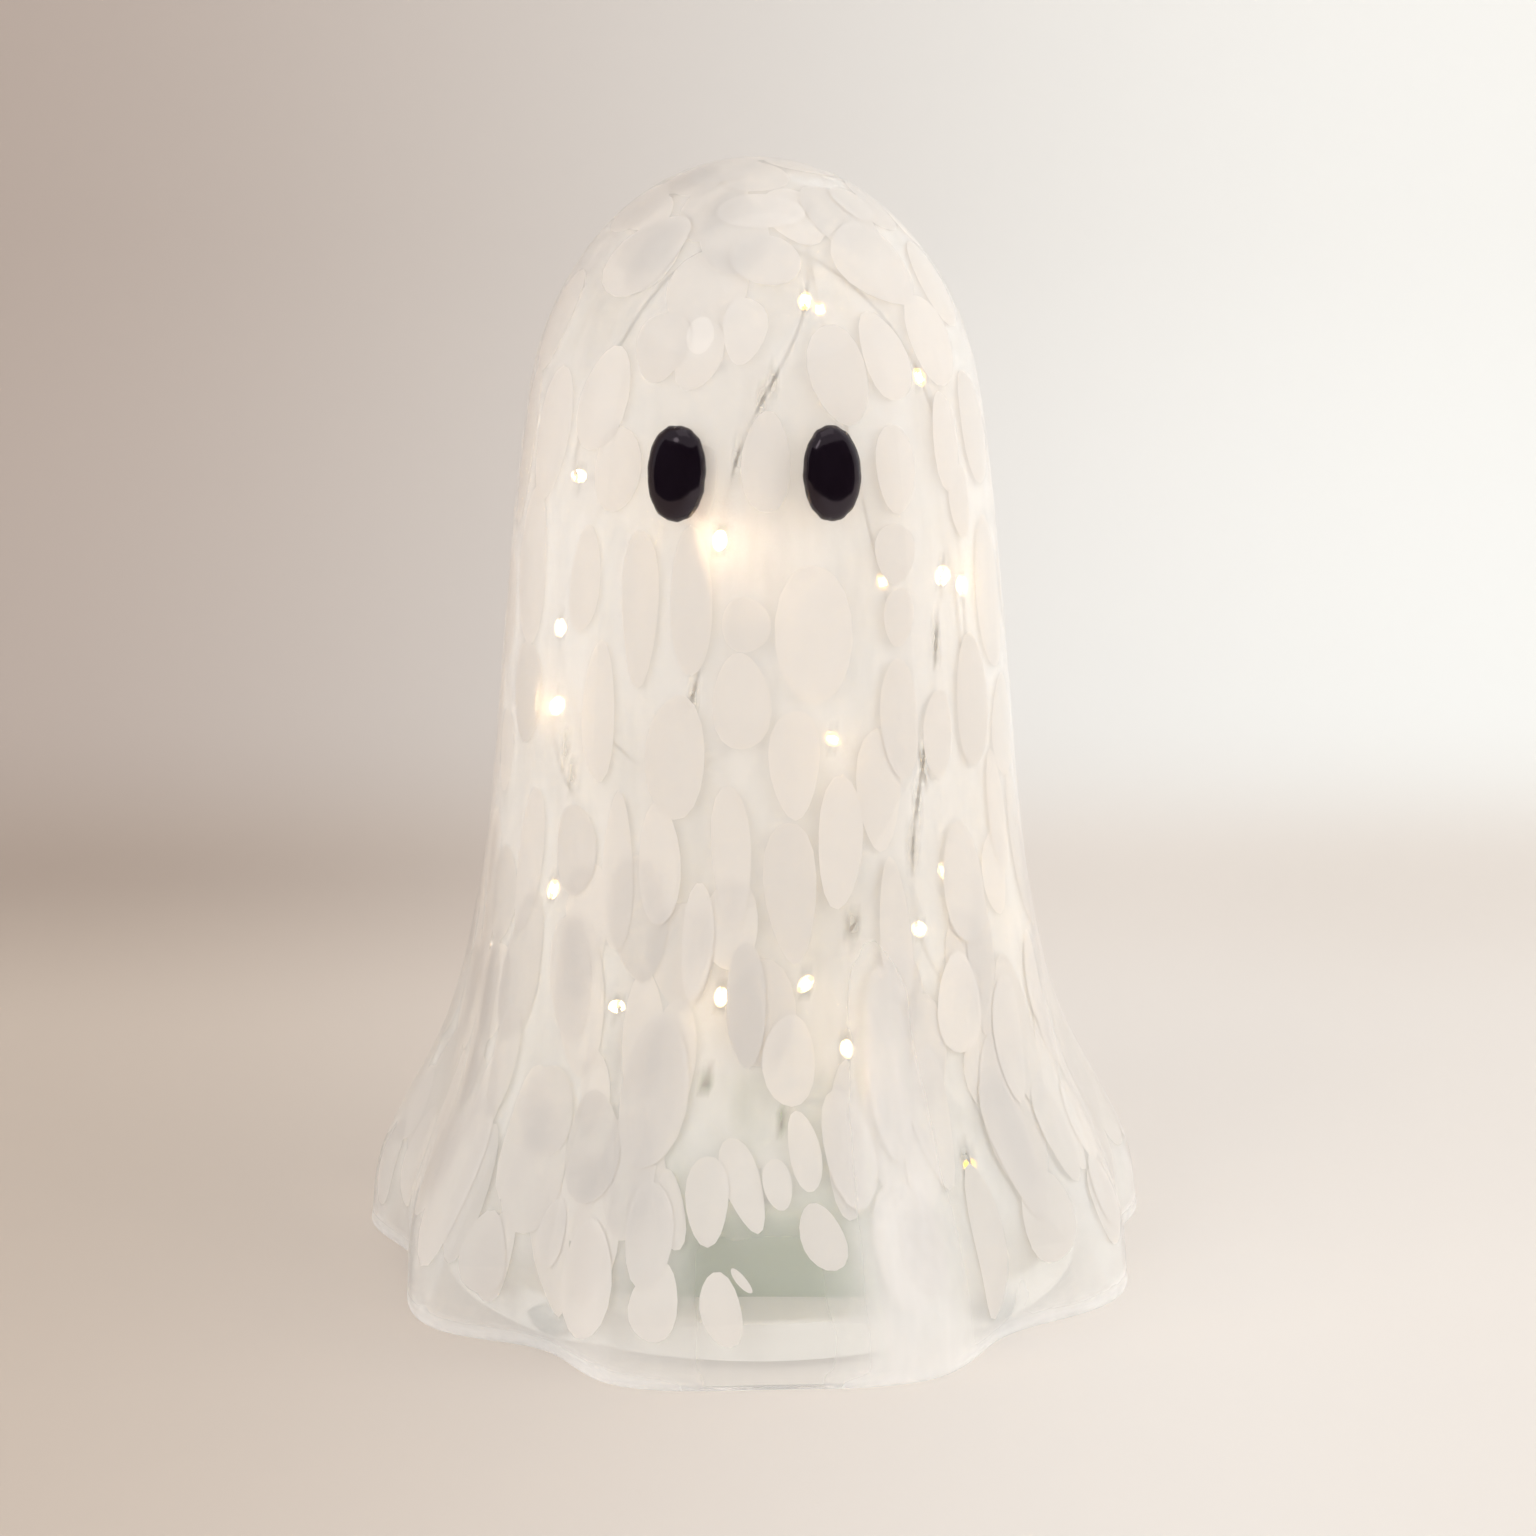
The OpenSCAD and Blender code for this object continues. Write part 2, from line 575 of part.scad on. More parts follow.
// AA cell on its side, nub towards the back or the front
module cell(number, nub_side) {
    end = nub_side > 0 ? bay_back - plate_t - bump_h - seat_clear / 2
        : bay_front + plate_t + bump_h + seat_clear / 2;
    color("goldenrod") translate([(number - 2) * cell_pitch, end, cell_z]) rotate([nub_side * 90, 0, 0]) {
        translate([0, 0, nub_h]) cylinder(d = cell_d, h = cell_l - nub_h);
        cylinder(r = nub_r, h = nub_h + into);
    }
}
module cell_1() { cell(1, 1); }
module cell_2() { cell(2, -1); }
module cell_3() { cell(3, 1); }

// Plates on the bay's end walls: two single ones and two that join neighbours
plate_w = 11;
module plate(from, to, y) {
    translate([(from - 2) * cell_pitch - plate_w / 2, y, cell_z - plate_h / 2])
        cube([(to - from) * cell_pitch + plate_w, plate_t, plate_h]);
}
module contact_plates() {
    back = bay_back - plate_t;
    color("silver") {
        plate(1, 1, bay_front);
        plate(2, 3, bay_front);
        plate(1, 2, back);
        plate(3, 3, back);
        for (n = [1, 3])
            translate([(n - 2) * cell_pitch, back + into, cell_z])
                rotate([90, 0, 0]) cylinder(r = bump_r, h = bump_h + into);
        translate([0, bay_front + plate_t - into, cell_z])
            rotate([-90, 0, 0]) cylinder(r = bump_r, h = bump_h + into);
    }
}

module contact_springs() {
    color("silver") for (n = [1, 2, 3]) {
        front = n != 2;
        translate([(n - 2) * cell_pitch, front ? bay_front + plate_t : bay_back - plate_t, cell_z])
            rotate([front ? -90 : 90, 0, 0]) tube(tube_rings(spring_line, spring_wire, wire_sides));
    }
}

module red_lead() {
    y = bay_back - plate_t - lead_d / 2 - seat_clear / 2;
    color("red") lead([[lead_tab_x, y, lead_z], [lead_x, y, lead_z], [lead_x, lead_turn_y, lead_z],
        [lead_end_x, lead_turn_y, lead_z], [lead_end_x, lead_turn_y, board_top + seat_clear]]);
}

module black_lead() {
    y = bay_front + plate_t + lead_d / 2 + seat_clear / 2;
    color("black") lead([[-lead_tab_x, y, lead_z], [-lead_x, y, lead_z], [-lead_x, lead_turn_y, lead_z],
        [-lead_end_x, lead_turn_y, lead_z], [-lead_end_x, lead_turn_y, board_top + seat_clear]]);
}

module timer_board() {
    color("seagreen") difference() {
        translate([-board_w / 2, board_y - board_l / 2, board_z]) cube([board_w, board_l, board_t]);
        for (s = [-1, 1])
            translate([s * board_post_x, board_y, board_z - past])
                cylinder(r = screw_hole_r, h = board_t + 2 * past);
    }
}

// Eight-legged chip
chip_w = 5;
chip_l = 4;
chip_h = 1.5;
chip_x = board_post_x - 6;
chip_y = board_y - 4;
chip_stand = 0.1;
leg_pitch = 1.27;
leg_w = 0.4;
leg_l = 1.1;
leg_t = 0.5;
module timer_chip() {
    color("dimgray") translate([chip_x, chip_y, board_top]) {
        translate([-chip_w / 2, -chip_l / 2, chip_stand]) cube([chip_w, chip_l, chip_h]);
        for (i = [-1.5 : 1 : 1.5])
            for (s = [-1, 1])
                translate([i * leg_pitch - leg_w / 2, s * (chip_l + leg_l) / 2 - leg_l / 2 - s * into, 0])
                    cube([leg_w, leg_l, leg_t]);
    }
}

can_r = 1.5;
can_l = 6;
can_y = board_y + 1.5;
module timing_crystal() {
    color("silver") translate([chip_x - can_l / 2, can_y, board_top + can_r])
        rotate([0, 90, 0]) cylinder(r = can_r, h = can_l);
}

// Upright capacitor with a raised vent in its top
capacitor_r = 2.5;
capacitor_h = 6;
vent_r = 1.2;
vent_h = 0.2;
module smoothing_capacitor() {
    color("slategray") translate([-chip_x, chip_y, board_top]) {
        cylinder(r = capacitor_r, h = capacitor_h);
        cylinder(r = vent_r, h = capacitor_h + vent_h);
    }
}

// Slide switch under the board, with its slot open below
module switch_body() {
    color("silver") difference() {
        translate([-switch_l / 2, board_y - switch_d / 2, board_z - switch_h])
            cube([switch_l, switch_d, switch_h]);
        translate([-switch_slot_l / 2, board_y - knob_d / 2 - run_clear, board_z - switch_h - past])
            cube([switch_slot_l, knob_d + 2 * run_clear, knob_in + run_clear + past]);
    }
}

// Knob at its on end, in reach below the tray, with grip grooves across its end
groove_w = 0.35;
groove_depth = 0.3;
grooves = 3;
module switch_knob() {
    low = tray_lift - knob_hang;
    high = board_z - switch_h + knob_in;
    color("dimgray") translate([-knob_travel / 2 - knob_w / 2, board_y - knob_d / 2, low]) difference() {
        cube([knob_w, knob_d, high - low]);
        for (i = [1 : grooves])
            translate([knob_w * i / (grooves + 1) - groove_w / 2, -past, -past])
                cube([groove_w, knob_d + 2 * past, groove_depth + past]);
    }
}

// Rubber grommet in the roof of the case
module wire_grommet() {
    gap = seat_clear / 2;
    neck = grommet_r - gap;
    wide = grommet_r + grommet_flange;
    top = case_wall + gap;
    bore = wire_d / 2 + wire_clear;
    color("dimgray") translate([string_exit[0], string_exit[1], bay_top])
        rotate_extrude() polygon([
            [bore, -grommet_t - gap], [wide, -grommet_t - gap], [wide, -gap], [neck, -gap],
            [neck, top], [wide, top], [wide - grommet_t / 2, top + grommet_t], [bore, top + grommet_t]]);
}

module string_wire() {
    color("darkgray") tube(tube_rings(string_line, wire_d, wire_sides));
}

// Drops of clear resin, each cast round the straight of one length of wire
module led_drops() {
    color("lightyellow", 0.7) for (place = light_places) {
        i = min([for (k = [1 : len(string_line) - 1]) if (string_length[k] >= place) k]);
        d = string_line[i] - string_line[i - 1];
        translate((string_line[i] + string_line[i - 1]) / 2)
            rotate([0, acos(d[2] / norm(d)), atan2(d[1], d[0])]) difference() {
                sphere(d = drop_d);
                cylinder(r = wire_d / 2 + wire_clear, h = 2 * drop_d, center = true);
            }
    }
}

module case_screws() {
    color("silver") for (p = screw_places)
        translate([p[0], p[1], tray_lift]) screw(tray_t - screw_head_h + case_screw_l - 1, screw_head_h);
}

module board_screws() {
    color("silver") for (s = [-1, 1])
        translate([s * board_post_x, board_y, board_top + screw_head_h])
            rotate([180, 0, 0]) screw(board_screw_l, screw_head_h);
}

glass_shell();
left_eye();
right_eye();
tray();
glue_dabs();
battery_case();
battery_door();
door_screw();
cell_1();
cell_2();
cell_3();
contact_plates();
contact_springs();
red_lead();
black_lead();
timer_board();
timer_chip();
timing_crystal();
smoothing_capacitor();
switch_body();
switch_knob();
wire_grommet();
string_wire();
led_drops();
case_screws();
board_screws();
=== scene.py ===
"""Lighted glass ghost: a blown glass hollow with white chips cased in its wall, two black glass eyes,
and a string of small warm lights inside, fed from a battery case in the base."""

import math
import random
from collections import namedtuple

import bmesh
import bpy
from mathutils import Matrix, Vector


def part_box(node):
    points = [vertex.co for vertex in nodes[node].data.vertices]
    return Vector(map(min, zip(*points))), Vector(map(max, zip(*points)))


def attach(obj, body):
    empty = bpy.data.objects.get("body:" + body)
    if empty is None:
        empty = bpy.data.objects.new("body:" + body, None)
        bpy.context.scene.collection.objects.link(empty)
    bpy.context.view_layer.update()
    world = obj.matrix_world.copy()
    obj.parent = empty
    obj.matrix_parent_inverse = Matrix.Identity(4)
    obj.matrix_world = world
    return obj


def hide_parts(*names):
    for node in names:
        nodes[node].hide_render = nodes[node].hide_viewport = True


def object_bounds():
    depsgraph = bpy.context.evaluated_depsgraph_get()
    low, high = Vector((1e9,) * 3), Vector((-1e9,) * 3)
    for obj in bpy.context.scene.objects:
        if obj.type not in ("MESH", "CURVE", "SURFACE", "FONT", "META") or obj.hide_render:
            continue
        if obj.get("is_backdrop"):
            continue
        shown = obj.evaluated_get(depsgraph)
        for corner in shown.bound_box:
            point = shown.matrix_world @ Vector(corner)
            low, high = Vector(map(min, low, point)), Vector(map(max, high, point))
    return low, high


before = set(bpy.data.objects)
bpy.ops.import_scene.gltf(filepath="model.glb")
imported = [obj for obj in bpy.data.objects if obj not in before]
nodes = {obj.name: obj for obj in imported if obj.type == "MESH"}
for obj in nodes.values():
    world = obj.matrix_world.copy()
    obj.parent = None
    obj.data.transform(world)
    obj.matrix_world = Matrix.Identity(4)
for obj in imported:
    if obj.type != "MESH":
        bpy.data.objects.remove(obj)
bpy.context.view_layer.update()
MM = 0.001

# The camera
# A long lens a little over a metre away, straight in front of the face and looking slightly down.
view_tilt = math.radians(18)
view_distance = 1.2
view_middle = Vector((2.77, 0, 108.2)) * MM
view_line = Vector((0, -math.cos(view_tilt), math.sin(view_tilt)))
bpy.ops.object.camera_add(
    location=view_middle + view_distance * view_line,
    rotation=(math.pi / 2 - view_tilt, 0, 0),
)
camera = bpy.context.object
camera.data.sensor_width = 36
camera.data.lens = 131.8
bpy.context.scene.camera = camera


# The light string
# Two fine tinned wires in clear insulation, twisted into one, come up through the case's grommet.
# The string was fed in by hand, so it lies in long loose loops that spring out towards the glass.
class Value:
    """A value that runs through a material's nodes. A sum with it adds a Math node."""

    def __init__(self, socket):
        self.socket = socket

    def worked(self, operation, first, second):
        tree = self.socket.id_data
        made = tree.nodes.new("ShaderNodeMath")
        made.operation = operation
        for port, term in zip(made.inputs, (first, second)):
            if isinstance(term, Value):
                tree.links.new(term.socket, port)
            else:
                port.default_value = term
        return Value(made.outputs[0])

    def __add__(self, other):
        return self.worked("ADD", self, other)

    def __sub__(self, other):
        return self.worked("SUBTRACT", self, other)

    def __rsub__(self, other):
        return self.worked("SUBTRACT", other, self)

    def __mul__(self, other):
        return self.worked("MULTIPLY", self, other)

    def __gt__(self, other):
        return self.worked("GREATER_THAN", self, other)

    def either(self, other):
        return self.worked("MAXIMUM", self, other)

    __radd__ = __add__
    __rmul__ = __mul__


class Finish:
    """A material, built up node by node."""

    def __init__(self, name):
        self.material = bpy.data.materials.new(name)
        self.material.use_nodes = True
        self.tree = self.material.node_tree
        self.tree.nodes.clear()

    def node(self, kind, settings, inputs, output=0):
        made = self.tree.nodes.new("ShaderNode" + kind)
        for name, value in settings.items():
            setattr(made, name, value)
        for name, value in inputs.items():
            port = made.inputs[name]
            if isinstance(value, Value):
                self.tree.links.new(value.socket, port)
            elif port.type == "RGBA":
                port.default_value = (*value, 1)
            else:
                port.default_value = value
        return Value(made.outputs[output]) if made.outputs else None

    def place(self):
        return self.node("TexCoord", {}, {}, "Object")

    def along(self, axis):
        return self.node("SeparateXYZ", {}, {"Vector": self.place()}, axis)

    def stored(self, name):
        return self.node("Attribute", {"attribute_name": name}, {}, "Fac")

    def ray(self, kind):
        return self.node("LightPath", {}, {}, f"Is {kind} Ray")

    def mottle(self, scale, detail=2.0):
        return self.node("TexNoise", {}, {"Vector": self.place(), "Scale": scale, "Detail": detail})

    def blend(self, share, first, second):
        settings = {"data_type": "RGBA"}
        return self.node("Mix", settings, {0: share, 6: first, 7: second}, 2)

    def bump(self, height, strength, distance):
        return self.node("Bump", {}, {"Height": height, "Strength": strength, "Distance": distance})

    def principled(self, inputs):
        return self.node("BsdfPrincipled", {}, inputs)

    def mixed(self, share, first, second):
        return self.node("MixShader", {}, {0: share, 1: first, 2: second})

    def lamp_clear(self, shader, tint):
        """Lets lamplight and bounced light straight through, to reach what stands behind the glass."""
        through = self.ray("Shadow").either(self.ray("Diffuse"))
        return self.mixed(through, shader, self.node("BsdfTransparent", {}, {"Color": tint}))

    def surface(self, shader):
        self.node("OutputMaterial", {}, {"Surface": shader})
        return self.material


def keep_values(mesh, name, values):
    """Stores one number for each point, for a material to read by its name."""
    mesh.attributes.new(name, "FLOAT", "POINT").data.foreach_set("value", values)


def finished(piece, material):
    """A piece made here takes its finish and its slot, and stands still with the glass."""
    piece.data.materials.clear()
    piece.data.materials.append(material)
    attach(piece, "root")


# Points that steer the wire from the case to the last light, in millimetres
string_route = [
    (0, -31, 4), (0, -31, 12), (0, -31, 20), (0, -31, 30),
    (18, -30, 62), (48, 0, 56), (44, -28, 10), (42, -44, 64), (12, -44, 46),
    (26, -46, 104), (-10, -48, 96), (-4, -50, 54), (-34, -54, 26), (-24, -14, 74),
    (-42, 12, 34), (-50, -20, 72), (-32, 26, 106), (-50, 0, 140), (-20, 20, 180),
    (-44, -22, 166), (-22, -22, 222), (4, 10, 226), (38, 16, 198), (46, 10, 150),
    (46, 0, 108), (38, -18, 182), (36, -32, 126), (28, -34, 86), (50, 2, 42),
    (42, 30, 78), (30, 36, 134), (16, 38, 190), (8, 2, 236), (14, -26, 212),
    (-6, -42, 192), (-8, -42, 150), (-20, -48, 110), (-44, -18, 148), (-38, -38, 92),
    (8, -44, 146), (38, -38, 106), (4, -44, 68), (-6, -44, 56),
]
# How far along the wire each light sits, in millimetres
light_places = [
    114, 166, 241, 330, 389, 452, 516, 590, 640, 686,
    755, 833, 905, 972, 1045, 1100, 1156, 1235, 1313, 1375,
]
# How bright each light is painted to look from the front, from 0 to 1: the lights are alike, and the levels
# stand in for how each faces that view
light_levels = [
    0, 0.28, 0.25, 0.14, 0.14, 0.38, 0.14, 0.03, 0.03, 0.22,
    0.22, 0.28, 0.19, 0.03, 0.03, 0.05, 0.68, 0.44, 0.08, 0.14,
]


def eased_line(points, steps):
    """A smooth curve that the points steer, in so many steps from each to the next."""
    points = [Vector(p) * MM for p in points]
    line = []
    for a, b, c, d in zip(points, points[1:], points[2:], points[3:]):
        for k in range(steps):
            t = k / steps
            ends = (1 - t) ** 3 * a + t**3 * d
            middle = (3 * t**3 - 6 * t**2 + 4) * b + (3 * t + 3 * t**2 - 3 * t**3 + 1) * c
            line.append((ends + middle) / 6)
    a, b, c = points[-3:]
    return line + [(a + 4 * b + c) / 6]


def evened(line, gap):
    """The same line, with its points about one gap apart."""
    out, left = [line[0]], gap
    for a, b in zip(line, line[1:]):
        reach = (b - a).length
        while left <= reach:
            out.append(a.lerp(b, left / reach))
            left += gap
        left -= reach
    return out


def frames_along(line):
    """Heading and two square directions at each point, turned on without twisting."""
    across = None
    for i, p in enumerate(line):
        ahead = (line[min(i + 1, len(line) - 1)] - line[max(i - 1, 0)]).normalized()
        across = Vector((1, 0, 0)) if across is None else across
        across = (across - ahead * across.dot(ahead)).normalized()
        yield p, ahead, across, ahead.cross(across)


def tube_mesh(name, lines, thickness, sides):
    """Round wires along the lines, as one mesh with closed ends."""
    curve = bpy.data.curves.new(name, "CURVE")
    curve.dimensions = "3D"
    curve.bevel_depth = thickness / 2
    curve.bevel_resolution = sides // 2 - 2
    curve.use_fill_caps = True
    for line in lines:
        spline = curve.splines.new("POLY")
        spline.points.add(len(line) - 1)
        for point, p in zip(spline.points, line):
            point.co = (*p, 1)
    piece = bpy.data.objects.new(name, curve)
    bpy.context.collection.objects.link(piece)
    bpy.ops.object.select_all(action="DESELECT")
    piece.select_set(True)
    bpy.context.view_layer.objects.active = piece
    bpy.ops.object.convert(target="MESH")
    piece.data.polygons.foreach_set("use_smooth", [True] * len(piece.data.polygons))
    return piece


wire_d = 0.9 * MM
strand_d = 0.46 * MM
twist_pitch = 5.5 * MM
path_gap = 0.6 * MM
fine_steps = 24
wire_path = evened(eased_line(string_route, fine_steps), path_gap)
strands = [[], []]
for i, (p, ahead, across, up) in enumerate(frames_along(wire_path)):
    turn = math.tau * i * path_gap / twist_pitch
    aside = (wire_d - strand_d) / 2 * (math.cos(turn) * across + math.sin(turn) * up)
    strands[0].append(p + aside)
    strands[1].append(p - aside)
string_wire = tube_mesh("string_wires", strands, strand_d, 6)

insulated = Finish("wire_insulation")
string_wire_finish = insulated.surface(insulated.principled({
    "Base Color": insulated.blend(insulated.mottle(900), (0.27, 0.235, 0.19), (0.42, 0.385, 0.335)),
    "Roughness": 0.24 + 0.18 * insulated.mottle(400),
    "Metallic": 0.35,
    "Coat Weight": 0.5,
}))
finished(string_wire, string_wire_finish)
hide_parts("string_wire")

# The lights on the string
# Each is a tiny light with a yellow face, soldered across the two wires and sealed in a drop of
# clear resin that ran out a little way along the wire before it set.

# The places are counted along the frame's own wire, which has fewer points
coarse_steps = 5
coarse_line = eased_line(string_route, coarse_steps)
run = [0.0]
for a, b in zip(coarse_line, coarse_line[1:]):
    run.append(run[-1] + (b - a).length)
light_spots = []
for place in light_places:
    i = next(k for k in range(1, len(run)) if run[k] >= place * MM)
    before, after = coarse_line[i - 1], coarse_line[i]
    light_spots.append(((before + after) / 2, (after - before).normalized()))


def copies_joined(name, model, matrices):
    """One mesh of the model's copies, one at each matrix; the model itself goes."""
    joined = bmesh.new()
    for matrix in matrices:
        copy = model.data.copy()
        copy.transform(matrix)
        joined.from_mesh(copy)
        bpy.data.meshes.remove(copy)
    mesh = bpy.data.meshes.new(name)
    joined.to_mesh(mesh)
    joined.free()
    mesh.polygons.foreach_set("use_smooth", [True] * len(mesh.polygons))
    piece = bpy.data.objects.new(name, mesh)
    bpy.context.collection.objects.link(piece)
    bpy.data.objects.remove(model)
    return piece


def keep_levels(piece):
    """Stores with each light's points how bright it is painted to look from the front."""
    points_each = len(piece.data.vertices) // len(light_places)
    keep_values(piece.data, "level", [level for level in light_levels for k in range(points_each)])


drop_r = 1.55 * MM
drop_half = 2.3 * MM
drop_taper = 0.35
drop_flatness = 0.94
bpy.ops.object.select_all(action="DESELECT")
bpy.ops.mesh.primitive_uv_sphere_add(segments=20, ring_count=12, radius=1)
drop = bpy.context.object
for v in drop.data.vertices:
    swell = 1 - drop_taper * abs(v.co.z) ** 1.5
    v.co = Vector((v.co.x * drop_r * swell, v.co.y * drop_r * swell * drop_flatness, v.co.z * drop_half))
along_wire = [
    Matrix.Translation(p) @ ahead.to_track_quat("Z", "Y").to_matrix().to_4x4() for p, ahead in light_spots
]
light_drops = copies_joined("light_drops", drop, along_wire)
keep_levels(light_drops)
# The resin is no lamp: its own emission is a painted glow for the light scattered in the drop, amber for a
# light seen from its side and warm for one facing the front
resin = Finish("clear_resin")
amber_painted_glow = (0.12, 0.058, 0.004)
warm_painted_glow = resin.blend(resin.mottle(700), (1.0, 0.66, 0.26), (1.0, 0.8, 0.5))
resin_glass_painted_glow = resin.principled({
    "Base Color": (1.0, 0.97, 0.9),
    "Roughness": 0.06,
    "IOR": 1.5,
    "Transmission Weight": 1.0,
    "Emission Color": resin.blend(resin.stored("level"), amber_painted_glow, warm_painted_glow),
    "Emission Strength": 9,
})
finished(light_drops, resin.surface(resin.lamp_clear(resin_glass_painted_glow, (1, 0.97, 0.9))))

face_size = (1.1 * MM, 0.9 * MM, 1.7 * MM)
face_rounding = 0.16 * MM
bpy.ops.object.select_all(action="DESELECT")
bpy.ops.mesh.primitive_cube_add(size=1, scale=face_size)
bpy.ops.object.transform_apply(location=False, rotation=False, scale=True)
light_face = bpy.context.object
rounding = light_face.modifiers.new("rounding", "BEVEL")
rounding.width = face_rounding
rounding.segments = 2
bpy.ops.object.modifier_apply(modifier="rounding")
light_faces = copies_joined("light_faces", light_face, along_wire)
keep_levels(light_faces)
# The faces are the lamps; their glow follows the painted level, from a dim amber for a light seen from its
# side to full for one facing the front
glow_colour = (1.0, 0.74, 0.42)
side_seen_glow = (0.0019, 0.001, 0.0001)
phosphor = Finish("phosphor")
finished(light_faces, phosphor.surface(phosphor.principled({
    "Base Color": phosphor.blend(phosphor.mottle(1500), (0.95, 0.55, 0.08), (1.0, 0.72, 0.2)),
    "Roughness": 0.4,
    "Emission Color": phosphor.blend(phosphor.stored("level"), side_seen_glow, glow_colour),
    "Emission Strength": 800,
})))
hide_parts("led_drops")

# The glass body
# Clear glass blown over a gather of white chips, then worked to a dome above and swung out below,
# where the soft hem fell into folds. Its lip is fire-polished, and the folds stand on the table.
ghost_h = 240
shoulder_z = 190
glass_t = 4
lip_r = 1.1
# Height and mean radius of the body, from the hem to the shoulder
body_knots = [
    (0, 80.5), (17, 79.2), (30, 74.2), (46, 67), (80, 59.4), (135, 53.4), (165, 50.6), (190, 47.4),
]
# Angle of each fold in degrees, and its share of the swing, out or in
folds = [
    (-3, -0.5), (14, 1.45), (36, -1), (57, 0.9), (77, -0.9), (96, 0.5), (115, -1), (134, 0.9),
    (153, -0.9), (172, 1.15), (190, -1.1), (214, 1), (234, -1), (251, 0.95), (273, 0.3),
    (295, 1), (315, -1), (338, 1), (357, -0.5),
]
fold_swing, fold_h, fold_ease = 4.6, 100, 1.5
shoulder_lean = 1.15
rises = [b[0] - a[0] for a, b in zip(body_knots, body_knots[1:])]
grades = [(b[1] - a[1]) / (b[0] - a[0]) for a, b in zip(body_knots, body_knots[1:])]
knot_slopes = [grades[0]]
for i in range(1, len(grades)):
    knot_slopes.append((grades[i - 1] * rises[i] + grades[i] * rises[i - 1]) / (rises[i - 1] + rises[i]))
knot_slopes.append(grades[-1] * shoulder_lean)


def body_r(z):
    """Mean radius of the body at a height, up to the shoulder."""
    i = max(k for k in range(len(rises)) if k == 0 or body_knots[k][0] <= z)
    h = rises[i]
    t = (z - body_knots[i][0]) / h
    low = (2 * t**3 - 3 * t**2 + 1) * body_knots[i][1] + (t**3 - 2 * t**2 + t) * h * knot_slopes[i]
    high = (3 * t**2 - 2 * t**3) * body_knots[i + 1][1] + (t**3 - t**2) * h * knot_slopes[i + 1]
    return low + high


def fold_at(angle):
    """Share of the folds' swing at an angle in degrees."""
    angle = (angle - folds[0][0]) % 360 + folds[0][0]
    i = max(k for k in range(len(folds) - 1) if folds[k][0] <= angle)
    t = (angle - folds[i][0]) / (folds[i + 1][0] - folds[i][0])
    return folds[i][1] + (folds[i + 1][1] - folds[i][1]) * (1 - math.cos(math.pi * t)) / 2


def outer_r(angle, z):
    """Radius of the outside, with its folds, up to the shoulder."""
    return body_r(z) + fold_swing * max(0, 1 - z / fold_h) ** fold_ease * fold_at(angle)


dome_lean = -knot_slopes[-1] * (ghost_h - shoulder_z)
dome_share = dome_lean / (body_knots[-1][1] - dome_lean)
dome_rise = (ghost_h - shoulder_z) / (1 - dome_share)
dome_z = ghost_h - dome_rise
dome_r = body_knots[-1][1] / math.sqrt(1 - dome_share**2)

glass_sides = 144
hem_levels = [0, 1.5, 3.5, 6, 9, 12, 15, 18, 21, 24, 27, 30, 34, 38, 42, 46]
hem_top = hem_levels[-1]
side_rings, dome_rings = 26, 16
ring_levels = hem_levels + [
    hem_top + (shoulder_z - hem_top) * i / side_rings for i in range(1, side_rings + 1)
]
dome_start = math.asin(dome_share)
dome_turns = [dome_start + (math.pi / 2 - dome_start) * i / dome_rings for i in range(1, dome_rings)]
rings = [(z, body_r(z)) for z in ring_levels]
rings += [(dome_z + dome_rise * math.sin(t), dome_r * math.cos(t)) for t in dome_turns]
bpy.ops.object.select_all(action="DESELECT")
bpy.ops.mesh.primitive_circle_add(vertices=glass_sides, radius=rings[0][1] * MM)
glass = bpy.context.object
glass.name = "glass_body"
bpy.ops.object.mode_set(mode="EDIT")
for (z0, r0), (z1, r1) in zip(rings, rings[1:]):
    bpy.ops.mesh.extrude_edges_move(TRANSFORM_OT_translate={"value": (0, 0, (z1 - z0) * MM)})
    bpy.ops.transform.resize(value=(r1 / r0, r1 / r0, 1))
bpy.ops.mesh.extrude_edges_move(TRANSFORM_OT_translate={"value": (0, 0, (ghost_h - rings[-1][0]) * MM)})
bpy.ops.mesh.merge(type="CENTER")
bpy.ops.mesh.select_all(action="SELECT")
bpy.ops.mesh.normals_make_consistent(inside=False)
bpy.ops.object.mode_set(mode="OBJECT")
for v in glass.data.vertices:
    if v.co.z < fold_h * MM:
        angle = math.degrees(math.atan2(v.co.y, v.co.x))
        r = outer_r(angle, max(v.co.z / MM, 0)) * MM / math.hypot(v.co.x, v.co.y)
        v.co = Vector((v.co.x * r, v.co.y * r, v.co.z))
wall = glass.modifiers.new("wall", "SOLIDIFY")
wall.thickness = glass_t * MM
wall.offset = -1
wall.use_even_offset = True
bpy.ops.object.modifier_apply(modifier="wall")
for v in glass.data.vertices:
    v.co.z = max(v.co.z, 0)
lip = glass.modifiers.new("lip", "BEVEL")
lip.width = lip_r * MM
lip.segments = 3
lip.limit_method = "ANGLE"
lip.angle_limit = math.radians(55)
bpy.ops.object.modifier_apply(modifier="lip")
smooth = glass.modifiers.new("smooth", "SUBSURF")
smooth.levels = smooth.render_levels = 1
bpy.ops.object.modifier_apply(modifier="smooth")
glass.data.polygons.foreach_set("use_smooth", [True] * len(glass.data.polygons))

